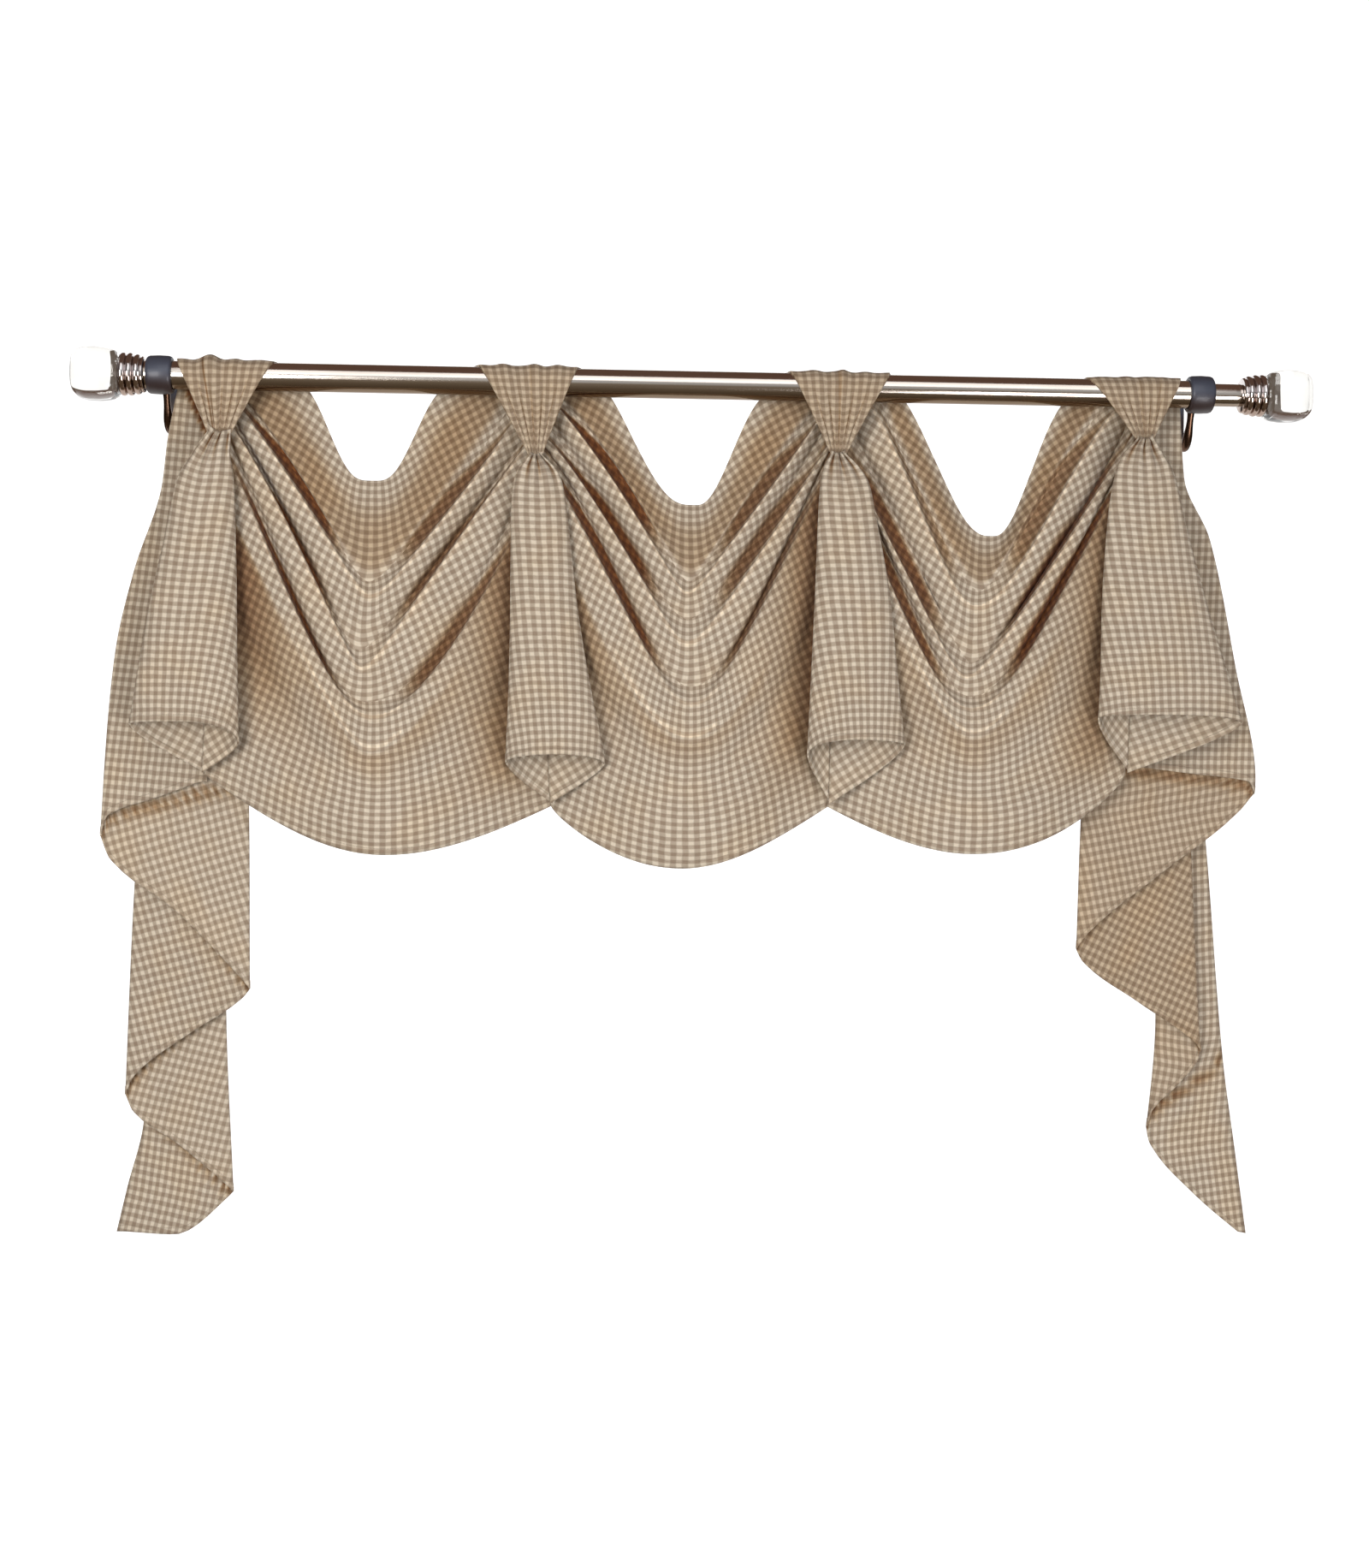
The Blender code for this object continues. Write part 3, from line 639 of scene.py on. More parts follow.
def run_lengths(points: np.ndarray, axis: int) -> np.ndarray:
    """Length along the cloth from the first row or column, in millimetres."""
    steps = np.linalg.norm(np.diff(points, axis=axis), axis=-1)
    total = np.cumsum(steps, axis=axis)
    first = np.zeros_like(np.take(total, [0], axis=axis))
    return np.concatenate([first, total], axis=axis)


def corners(values: np.ndarray) -> np.ndarray:
    """The value at each face's four corners, as (rows - 1, columns - 1, top or bottom, left or right)."""
    top = np.stack([values[:-1, :-1], values[:-1, 1:]], axis=-1)
    bottom = np.stack([values[1:, :-1], values[1:, 1:]], axis=-1)
    return np.stack([top, bottom], axis=-2)


def settle(
    across: np.ndarray, down: np.ndarray, weight_across: np.ndarray, weight_down: np.ndarray
) -> np.ndarray:
    """Values on a grid whose steps come as close as they can to the wanted steps.

    Args:
        across: (rows, columns - 1) wanted steps from each column to the next.
        down: (rows - 1, columns) wanted steps from each row to the next.
        weight_across: How much each step across counts.
        weight_down: How much each step down counts.

    Returns:
        (rows, columns) values, up to a constant.
    """
    def gather(over: np.ndarray, under: np.ndarray) -> np.ndarray:
        """What the steps across and down ask of each place."""
        total = np.zeros((over.shape[0], under.shape[1]))
        total[:, 1:] += over
        total[:, :-1] -= over
        total[1:] += under
        total[:-1] -= under
        return total

    def pull(values: np.ndarray) -> np.ndarray:
        """What these values' own steps ask of each place."""
        return gather(weight_across * np.diff(values, axis=1), weight_down * np.diff(values, axis=0))

    scale = np.zeros((across.shape[0], down.shape[1]))
    scale[:, 1:] += weight_across
    scale[:, :-1] += weight_across
    scale[1:] += weight_down
    scale[:-1] += weight_down
    line = np.concatenate([np.zeros(1), np.cumsum(across[0])])
    values = line[None] + np.concatenate([np.zeros((1, down.shape[1])), np.cumsum(down, axis=0)])
    rest = gather(weight_across * across, weight_down * down) - pull(values)
    eager = rest / scale
    way, energy = eager.copy(), float((rest * eager).sum())
    for _ in range(SETTLE_ROUNDS):
        if energy < 1e-9:
            break
        pulled = pull(way)
        step = energy / float((way * pulled).sum())
        values += step * way
        rest -= step * pulled
        eager = rest / scale
        before, energy = energy, float((rest * eager).sum())
        way = eager + energy / before * way
    return values


def lay_flat(
    points: np.ndarray, middle: int, panels: list[tuple[int, int, int]], bias: tuple[float, float]
) -> np.ndarray:
    """Lays the weave on the cloth, turned by a share of the slope that its rows have.

    Args:
        points: (rows, columns, 3) places of the cloth, in millimetres.
        middle: The column where the weave is upright.
        panels: First row, last row and the row whose depth is kept, for each panel.
        bias: How much of the rows' slope the warp and the weft leave out.

    Returns:
        (rows - 1, columns - 1, 2, 2, 2) flat places at each face's corners, in millimetres.
    """
    centre = run_lengths(points, 0)[:, middle]
    weave = np.zeros((points.shape[0] - 1, points.shape[1] - 1, 2, 2, 2))
    for first, last, anchor in panels:
        patch = points[first:last + 1]
        across, down = np.diff(patch, axis=1), np.diff(patch, axis=0)
        tangent = np.gradient(patch, axis=1)
        tangent /= np.maximum(np.linalg.norm(tangent, axis=-1, keepdims=True), 1e-9)
        way = (tangent[1:] + tangent[:-1]) / 2
        long = np.maximum(np.linalg.norm(across, axis=-1), 1e-3)
        with_row = (down * way).sum(-1)
        off_row = np.linalg.norm(down - with_row[..., None] * way, axis=-1)
        tall = np.maximum(np.hypot(with_row, off_row), 1e-3)
        sides = (tangent[:, 1:] + tangent[:, :-1]) / 2
        slope_here, slope_below = (np.arctan2(-side[..., 1], side[..., 0]) for side in (sides, way))
        grid_long = np.pad(long, ((0, 0), (0, 1)), mode="edge")
        grid_tall = np.pad(tall, ((0, 1), (0, 0)), mode="edge")
        weight_across = np.clip(grid_tall[:, :-1] / long, 0.1, 10.0)
        weight_down = np.clip(grid_long[:-1] / tall, 0.1, 10.0)
        for axis, left_out in enumerate(bias):
            turn_here, turn_below = slope_here * left_out, slope_below * left_out
            cos_below, sin_below = np.cos(turn_below), np.sin(turn_below)
            if axis == 0:
                steps = (long * np.cos(turn_here), with_row * cos_below - off_row * sin_below)
            else:
                steps = (long * np.sin(turn_here), with_row * sin_below + off_row * cos_below)
            laid = settle(*steps, weight_across, weight_down)
            laid += (centre[anchor] if axis else 0.0) - laid[anchor - first, middle]
            weave[first:last, ..., axis] = corners(laid)
    return weave


def with_hem(points: np.ndarray, *fields_too: np.ndarray) -> list[np.ndarray]:
    """Adds rows at fixed distances from the bottom edge, so that the hem is even all along.

    Args:
        points: (rows, columns, 3) places of the cloth, in millimetres.
        fields_too: Values at the same rows and columns, which are carried along.

    Returns:
        The new points, the distance of each from the bottom edge, and each field.
    """
    run = run_lengths(points, 0)
    total = run[-1]
    body = run * (1 - HEM_ROWS[0] / total)
    target = np.concatenate([body, *[(total - away)[None] for away in HEM_ROWS[1:]]])

    def moved(values: np.ndarray) -> np.ndarray:
        """The values at the new rows."""
        lines = [np.interp(target[:, i], run[:, i], values[:, i]) for i in range(values.shape[1])]
        return np.stack(lines, axis=1)

    made = np.stack([moved(points[..., k]) for k in range(3)], axis=-1)
    return [made, total - target, *[moved(field) for field in fields_too]]


def shade_by_side(points: np.ndarray, painted_shade: np.ndarray) -> tuple[np.ndarray, np.ndarray]:
    """The folds' painted shade on the cloth's face and on its reverse: soft wherever a side looks back to the
    wall.

    Args:
        points: (rows, columns, 3) places of the cloth, in metres.
        painted_shade: (rows, columns) painted shade in the folds.

    Returns:
        The painted shade on the face and the painted shade on the reverse.
    """
    normal = np.cross(np.gradient(points, axis=1), -np.gradient(points, axis=0))
    normal /= np.maximum(np.linalg.norm(normal, axis=-1, keepdims=True), 1e-12)
    start, full = FACES_BACK
    face, reverse = (
        painted_shade * blend(BACK_SHADE, 1.0, smooth((side * -normal[..., 1] - full) / (start - full)))
        for side in (1, -1)
    )
    return face, reverse


def mesh_object(name: str, bm: BMesh, *finishes: Material) -> Object:
    """A new object in the scene.

    Args:
        name: Its name and its mesh's.
        bm: Its mesh, which is freed.
        finishes: Its materials, in order.

    Returns:
        The object.
    """
    mesh = bpy.data.meshes.new(name)
    bm.to_mesh(mesh)
    bm.free()
    for finish in finishes:
        mesh.materials.append(finish)
    made = bpy.data.objects.new(name, mesh)
    bpy.context.scene.collection.objects.link(made)
    return made


@dataclass
class ClothPiece:
    finish: ClothFinish

    @property
    def node(self) -> str:
        """The CAD node that this piece stands for."""
        raise NotImplementedError

    @property
    def name(self) -> str:
        """The piece's name."""
        return f"cloth_{self.node}"

    def grid(self) -> ClothGrid:
        """Lays out the piece."""
        raise NotImplementedError

    def flat(self, grid: ClothGrid) -> tuple[float, float]:
        """Width and length of the cloth that the piece was cut from, in metres."""
        across = run_lengths(grid.points, 1)[:, -1].max()
        down = run_lengths(grid.points, 0)[-1].max()
        return across * MM, down * MM

    def build(self) -> Object:
        """Makes the piece's mesh with its weave, the painted shade of its folds and its hem, and gives it its
        thickness.
        """
        grid = self.grid()
        rows, columns = grid.painted_shade.shape
        bm = bmesh.new()
        bmesh.ops.create_grid(bm, x_segments=columns - 1, y_segments=rows - 1, size=0.5)
        painted_shade = bm.verts.layers.float.new(PAINTED_SHADE)
        painted_shade_behind = bm.verts.layers.float.new(PAINTED_SHADE_BEHIND)
        hem = bm.verts.layers.float.new(HEM)
        flat = bm.loops.layers.uv.new(UV_NAME)
        world = to_world(grid.points)
        face_shade, reverse_shade = shade_by_side(np.array(world), grid.painted_shade)
        places = {}
        for vert in bm.verts:
            i = round((vert.co.x + 0.5) * (columns - 1))
            j = round((0.5 - vert.co.y) * (rows - 1))
            places[vert] = (j, i)
            vert[painted_shade] = face_shade[j, i]
            vert[painted_shade_behind] = reverse_shade[j, i]
            vert[hem] = grid.hem[j, i]
        for face in bm.faces:
            spots = [places[loop.vert] for loop in face.loops]
            top = min(j for j, _ in spots)
            left = min(i for _, i in spots)
            for loop, (j, i) in zip(face.loops, spots):
                loop[flat].uv = grid.weave[top, left, j - top, i - left] * MM
        hemmed = [vert.index for vert, (j, i) in places.items() if grid.hem[j, i] < HEM_WIDTH + 0.1]
        for vert, (j, i) in places.items():
            vert.co = world[j, i]
        made = mesh_object(self.name, bm, self.finish.face, self.finish.reverse)
        made.data.shade_smooth()
        made.vertex_groups.new(name=HEM_GROUP).add(hemmed, 1.0, "REPLACE")
        thick = made.modifiers.new("Thickness", "SOLIDIFY")
        thick.thickness = HEM_THICK * MM
        thick.offset = 0.0
        thick.vertex_group = HEM_GROUP
        thick.thickness_vertex_group = CLOTH_THICK / HEM_THICK
        thick.material_offset = 1
        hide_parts(self.node)
        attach(made, BODY)
        width, length = self.flat(grid)
        area = min(grid.flat_area(), width * length)
        LOG.info("%s: %d x %d points, cut %.0f x %.0f mm", self.name, rows, columns, width / MM, length / MM)
        return made


# ---------------------------------------------------------------- swags

def swag_side(number: int, toward: int, at: np.ndarray) -> np.ndarray:
    """Places on a swag's side: 0 to 1 on the rod, to 2 at the gather, to 3 at the foot.

    Args:
        number: The gather that this side hangs from.
        toward: 1 where the swag lies to the right of the gather, -1 where it lies to the left.
        at: How far along the side.

    Returns:
        (places, 3) as x, z and d, in millimetres.
    """
    gather = GATHERS[number]
    outer = gather.seam_right if toward > 0 else gather.seam_left
    x = gather.x - toward * SIDE_LAP
    foot = gather.neck_x - toward * SIDE_LAP
    bend = blend(SEAM_Z, gather.z, SIDE_BEND)
    return np.stack([
        eased(SIDE_KNOTS, (outer, x, x, x, foot), at),
        eased(SIDE_KNOTS, (SEAM_Z, SEAM_Z, bend, gather.z, gather.neck_z), at),
        eased(SIDE_KNOTS, SIDE_DEPTHS, at) + toward * SIDE_APART * smooth(at - 1.0),
    ], axis=-1)


def off_the_rod(points: np.ndarray) -> np.ndarray:
    """Moves points that would lie inside the rod straight out to its surface."""
    reach = np.maximum(np.hypot(points[..., 1], points[..., 2]), 1e-6)
    push = np.maximum(ON_ROD / reach, 1.0)
    moved = points.copy()
    moved[..., 1] *= push
    moved[..., 2] *= push
    return moved


@dataclass
class Swag(ClothPiece):
    """A swag: one cloth whose pleats fan out of two gathers and hang in nested scoops."""

    side: Side
    half: int = 104

    @property
    def node(self) -> str:
        """The CAD node that this piece stands for."""
        return f"swag_{self.side.value}"

    def row_places(self) -> np.ndarray:
        """Where each row lies in the list of folds, with the rows closest together at the ridges."""
        folds = SWAG_FOLDS[self.side]
        places = []
        for index, steps in enumerate(SWAG_STEPS):
            share = np.arange(steps) / steps
            if folds[index + 1].stand > folds[index].stand:
                places.append(index + 1 - (1 - share) ** RISING_EASE)
            else:
                places.append(index + (1 - np.cos(math.pi * share)) / 2)
        return np.array([*np.concatenate(places), float(len(SWAG_STEPS))])

    def value(self, field: str, at: np.ndarray) -> np.ndarray:
        """One of the folds' own numbers at each row, as a column."""
        folds = SWAG_FOLDS[self.side]
        return eased(range(len(folds)), [getattr(fold, field) for fold in folds], at)[:, None]

    def stand(self, toward: int, at: np.ndarray, shares: np.ndarray) -> np.ndarray:
        """How far each place of one leg stands out of the swag: crisp ridges over narrow, deep valleys."""
        values = np.array([
            fold.stand * (VALLEY_SHARE if fold.stand < 0 else RIDGE_SHARE)
            for fold in SWAG_FOLDS[self.side]
        ])
        index = np.clip(at.astype(int), 0, len(values) - 2)
        share = (at - index)[:, None]
        low, high = values[index][:, None], values[index + 1][:, None]
        crisp = np.clip((-np.minimum(low, high) / VALLEY_SHARE - CRISP_FROM) / CRISP_OVER, 0.0, 1.0)
        fall = blend(SOFT_DROP, blend(VALLEY_DROP[toward], VALLEY_DROP[-1], smooth(shares)), crisp)
        rise = blend(SOFT_RISE, blend(RIDGE_RISE, FOOT_RISE, smooth((shares - 0.65) / 0.3)), crisp)
        early = blend(blend(1.0, SLIT_FLOOR[toward], crisp), 1.0, smooth((shares - 0.5) / 0.5))
        share = np.where(high > low, share, np.minimum(share / early, 1.0))
        stands = blend(low, high, share ** np.where(high > low, rise, fall))
        ridge_reach = np.sin(np.minimum(shares / STAND_REACH, 1.0) * math.pi / 2)
        valley_reach = np.sin(np.minimum(shares / VALLEY_REACH, 1.0) * math.pi / 2)
        calm = blend(1.0, STAND_AT_FOOT, smooth((shares - 0.6) / 0.4))
        return stands * np.where(stands > 0, ridge_reach, valley_reach) * calm

    def leg(self, number: int, toward: int, at: np.ndarray) -> np.ndarray:
        """One leg of every row, from the swag's side to its lowest point.

        Args:
            number: The gather that this leg hangs from.
            toward: 1 for the leg at the swag's left, -1 for the one at its right.
            at: Where each row lies in the list of folds.

        Returns:
            (rows, half + 1, 3) places as x, z and d, in millimetres.
        """
        value = partial(self.value, at=at)
        along = value("from_" + WAYS[toward])
        start = swag_side(number, toward, along)
        shares = np.linspace(0, 1, self.half + 1)[None]
        width = value("round")
        drop = shares ** value("fall_" + WAYS[toward])
        turn = (np.hypot(1 - drop, width) - width) / (np.hypot(1, width) - width)
        near = hump(shares, 0.0, 1.0, PLEAT_REACH) * window(along, *PLEAT_SPAN)
        pleats = PLEAT_DEPTH * near * np.sin(along * PLEAT_TURNS * 2 * math.pi)
        return np.stack([
            blend(start[..., 0], value("x"), shares),
            blend(start[..., 1], value("z"), 1 - turn ** value("bow")),
            blend(start[..., 2], value("d"), np.sin(shares * math.pi / 2) ** SWELL_EASE)
            + self.stand(toward, at, shares) + pleats,
        ], axis=-1)

    def painted_shade_on(self, toward: int, at: np.ndarray) -> np.ndarray:
        """The shade painted into one leg's colour, from 0 to 1: in the slits, inside the top, beside the
        horns, at the puckers and under the low fold; below 0, a painted highlight on the ridges.
        """
        shares = np.linspace(0, 1, self.half + 1)[None]
        rows = at[:, None]
        dark = np.zeros((len(at), self.half + 1))
        wear_and_painted_light = np.zeros_like(dark)
        for index in PANEL_ENDS:
            deep = -SWAG_FOLDS[self.side][index].stand
            depth = SLIT_DARK[self.side][toward] * min((deep - SLIT_FROM) / SLIT_OVER, 1.0)
            foot = blend(1.0, SLIT_AT_FOOT, smooth((shares - 0.66) / 0.22))
            reach, soft = (blend(near, SLIT_LOW, smooth(shares)) for near in SLIT_ABOVE[toward])
            reach = reach * SLIT_WIDE[self.side][toward]
            above = smooth((rows - index + blend(SLIT_NEAR, reach, smooth(shares / 0.5))) / soft)
            below = smooth((index + SLIT_END - rows) / SLIT_EDGE)
            side = blend(SLIT_AT_SIDE, 1.0, smooth(shares / 0.3))
            dark = np.maximum(dark, depth * foot * side * above * below)
            # Painted highlight along each ridge's edge
            wear_and_painted_light = np.maximum(wear_and_painted_light, RIDGE_HIGHLIGHT * hump(rows - index, *RIDGE_HIGHLIGHT_ROW))
        # Painted shade inside the swag's top, beside the horns and at the puckers
        inside = window(rows, *INSIDE_SPAN) * blend(INSIDE_SHADE, MIDDLE_SHADE, smooth((shares - 0.5) / 0.4))
        beside = hump(shares, 0.0, 1.0, BESIDE_REACH[toward]) * window(rows, *BESIDE_SPAN[toward])
        along = self.value("from_" + WAYS[toward], at)
        pinched = hump(shares, 0.0, 1.0, PUCKER_REACH) * window(along, *PUCKER_SPAN)
        puckers = PUCKER_SHADE * pinched * smooth(0.1 - np.sin(along * PLEAT_TURNS * 2 * math.pi))
        # Painted shade under the low fold
        low_fold = LOW_SHADE * hump(rows, *LOW_ROW) * smooth(shares / 0.3)
        dark = np.maximum(np.maximum(dark, inside), np.maximum(BESIDE_SHADE * beside, puckers))
        dark = np.maximum(dark, low_fold)
        # Painted highlight on the low fold's edge
        wear_and_painted_light = np.maximum(wear_and_painted_light, RIDGE_HIGHLIGHT * hump(rows, *LOW_HIGHLIGHT_ROW) * smooth((shares - 0.3) / 0.4))
        return np.where(dark < 0.02, -wear_and_painted_light, dark)

    def grid(self) -> ClothGrid:
        """Lays out the swag from its scoop on top to its hem."""
        left, right = SWAG_GATHERS[self.side]
        at = self.row_places()
        first = self.leg(left, 1, at)
        second = self.leg(right, -1, at)[:, ::-1]
        points = np.concatenate([first[:, :-1], second], axis=1)
        painted_shade = np.concatenate([self.painted_shade_on(1, at)[:, :-1], self.painted_shade_on(-1, at)[:, ::-1]], axis=1)
        from_left = np.linspace(0, 1, points.shape[1])
        calm = np.minimum(from_left, from_left[::-1]) * SIDE_CALM
        points[..., 2] += SWAG_CRUMPLES.over(points, SWAG_SEED * left) * np.minimum(calm, 1.0)
        points = off_the_rod(points)
        points, hem, painted_shade = with_hem(points, painted_shade)
        starts = [0, *[int(np.searchsorted(at, index + PANEL_START)) for index in PANEL_ENDS]]
        ends = [*starts[1:], points.shape[0] - 1]
        anchors = [0, *[int(np.searchsorted(at, index + 1)) for index in PANEL_ENDS]]
        panels = list(zip(starts, ends, anchors))
        return ClothGrid(points, lay_flat(points, self.half, panels, SWAG_BIAS), painted_shade, hem)


# ---------------------------------------------------------------- horns

@dataclass
class Horn(ClothPiece):
    """A horn: a flared tube of cloth that falls from a gather, sewn up behind and open at the bottom."""

    number: int
    columns: int = 112
    steps: int = 64

    @property
    def node(self) -> str:
        """The CAD node that this piece stands for."""
        return f"horn_{self.number}"

    def hem_height(self, turn: np.ndarray) -> np.ndarray:
        """Height of the hem at each turn round the horn: 0 is the front and 180 the seam at the back."""
        left, middle, right, neck = HORN_HEMS[self.number]
        side = np.where(turn < 0, left, right)
        around = np.abs(turn)
        front = blend(middle, side, 1 - np.cos(np.radians(np.minimum(around, 90))))
        back = blend(side, neck, (np.maximum(around - 90, 0) / 90) ** HORN_HEM_EASE)
        return np.where(around <= 90, front, back)

    def grid(self) -> ClothGrid:
        """Lays out the horn from its waist to its hem, once round from the seam behind."""
        gather = GATHERS[self.number]
        levels = HORN_LEVELS[self.number]
        depths = [-level.z for level in levels]
        turn = np.linspace(-180, 180, self.columns + 1)[None]
        share = (np.linspace(0, 1, self.steps + 1) ** HORN_ROW_EASE)[:, None]
        rise = np.where(turn < 0, *HORN_RISE[self.number]) * np.abs(np.sin(np.radians(turn))) ** HORN_RIM_EASE
        z = blend(levels[0].z + rise, self.hem_height(turn), share)

        def value(field: str) -> np.ndarray:
            """One of the levels' own numbers at each height."""
            return eased(depths, [getattr(level, field) for level in levels], -z)

        left, right, front = value("left"), value("right"), value("front")
        side, neck = value("side"), value("neck")
        neck_x = blend(gather.x, gather.neck_x, (gather.z - z) / (gather.z - gather.neck_z))
        across = np.sin(np.radians(turn))
        forward = np.cos(np.radians(turn))
        edge = np.where(across > 0, right, left)
        behind = neck_x + (edge - neck_x) * np.abs(across) - np.copysign(SEAM_LAP * np.abs(forward), turn)
        x = np.where(forward >= 0, (left + right) / 2 + across * (right - left) / 2, behind)
        d = side + np.where(forward >= 0, front - side, side - neck) * forward
        d = d + np.where(forward < 0, np.copysign(SEAM_APART, turn) * forward**2, 0.0)
        below = levels[0].z - z
        wave = np.cos(np.radians(turn) * FLUTES + self.number + FLUTE_WANDER * np.sin(np.radians(turn) * 4))
        front_only = np.maximum(forward, 0) ** 0.5
        d = d + FLUTE_DEPTH * wave * hump(below, 0.0, 1.0, FLUTE_FALL) * front_only
        d = d + LIP_DEPTH * hump(below, LIP_FALL, LIP_FALL, LIP_FALL) * front_only
        points = np.stack([x, z, d], axis=-1)
        # Painted shade in the valleys of the flutes just under the waist
        painted_shade = smooth(-wave - 0.1) * hump(below, 0.0, 1.0, FLUTE_SHADE_FALL) * smooth(below / 1.5)
        soft = HORN_CRUMPLES.over(points, HORN_SEED * self.number)
        points[..., 2] += soft * np.minimum(below / HORN_CALM, 1.0) * np.maximum(forward, 0.0)
        points, hem, painted_shade = with_hem(points, painted_shade)
        middle = self.columns // 2
        weave = lay_flat(points, middle, [(0, points.shape[0] - 1, points.shape[0] - 1)], (0.0, 0.0))
        return ClothGrid(points, weave, painted_shade, hem)


# ---------------------------------------------------------------- tabs

@dataclass
class Tab(ClothPiece):
    """A tab: it comes up behind the rod, over it, and is drawn in pleats to the gather in front."""

    number: int
    panels: int = 6
    fine: int = 9
    steps: int = 66

    @property
    def node(self) -> str:
        """The CAD node that this piece stands for."""
        return f"tab_{self.number}"

    def grid(self) -> ClothGrid:
        """Lays out the tab from the back of the rod to its foot inside the horn's waist."""
        gather = GATHERS[self.number]
        at = np.linspace(0, TAB_END, self.steps + 1)[:, None]
        stages = [stage for stage, _ in TAB_TURNS]
        turns = [turn for _, turn in TAB_TURNS]
        turn = np.radians(eased(stages, turns, at))
        fallen = np.maximum(at - stages[-1], 0.0)
        z = blend(TAB_ARC * np.sin(turn), gather.z - TAB_TUCK, fallen)
        d = blend(TAB_ARC * np.cos(turn), TAB_FOOT_D, fallen)
        foot = gather.waist - TAB_INSET
        drop = np.where(at > 1.0, (TAB_ARC - z) / (TAB_ARC - gather.z + TAB_TUCK), 0.0)
        left = blend(blend(gather.seam_left, gather.top_left, np.minimum(at, 1.0)), gather.x - foot, drop)
        right = blend(blend(gather.seam_right, gather.top_right, np.minimum(at, 1.0)), gather.x + foot, drop)
        across = np.linspace(0, 1, self.panels * self.fine + 1)[None]
        drawn = smooth((at - TAB_DRAWN) / (TAB_END - TAB_DRAWN))
        bulge = np.abs(np.sin(math.pi * self.panels * across))
        lift = drawn * TAB_PLEAT * (bulge - 0.5) * smooth((3.08 - at) / 0.3)
        waves = TAB_WAVE_HEIGHT * np.sin(across * TAB_WAVES + self.number) * hump(at, *TAB_WAVE_PLACE)
        # Painted shade over the whole tab, deeper in its drawn pleats
        painted_shade = np.maximum(drawn * (1 - bulge) ** 3 * TAB_PLEAT_SHADE, TAB_SHADE)
        for place, half, height in TAB_RIDGES[self.number]:
            ridge = height * hump(across, place, half, half) * smooth((at - 0.4) / 0.4)
            lift = lift + ridge * blend(1.0, 0.4, drawn)
            # A painted shade line beside each ridge
            line = hump(across, place - half * 0.8, 0.02, 0.02) * smooth((at - 0.7) / 0.4)
            painted_shade = np.maximum(painted_shade, min(height / 3.0, TAB_RIDGE_SHADE) * line)
        reach = 1 + (lift + waves + 0.3 * bulge) / np.maximum(np.hypot(z, d), 1e-6)
        x = blend(left, right, across)
        points = np.stack([x, z * reach, d * reach], axis=-1)
        run = run_lengths(points, 1)
        width = run[:, -1:]
        spread = blend(1.0, width.max() / width, TAB_FAN)
        down = run_lengths(points, 0).mean(axis=1, keepdims=True) + np.zeros(painted_shade.shape)
        weave = np.stack([corners((run - width / 2) * spread), corners(down)], axis=-1)
        return ClothGrid(points, weave, painted_shade, np.full(painted_shade.shape, FAR_FROM_HEM))


# ---------------------------------------------------------------- tails

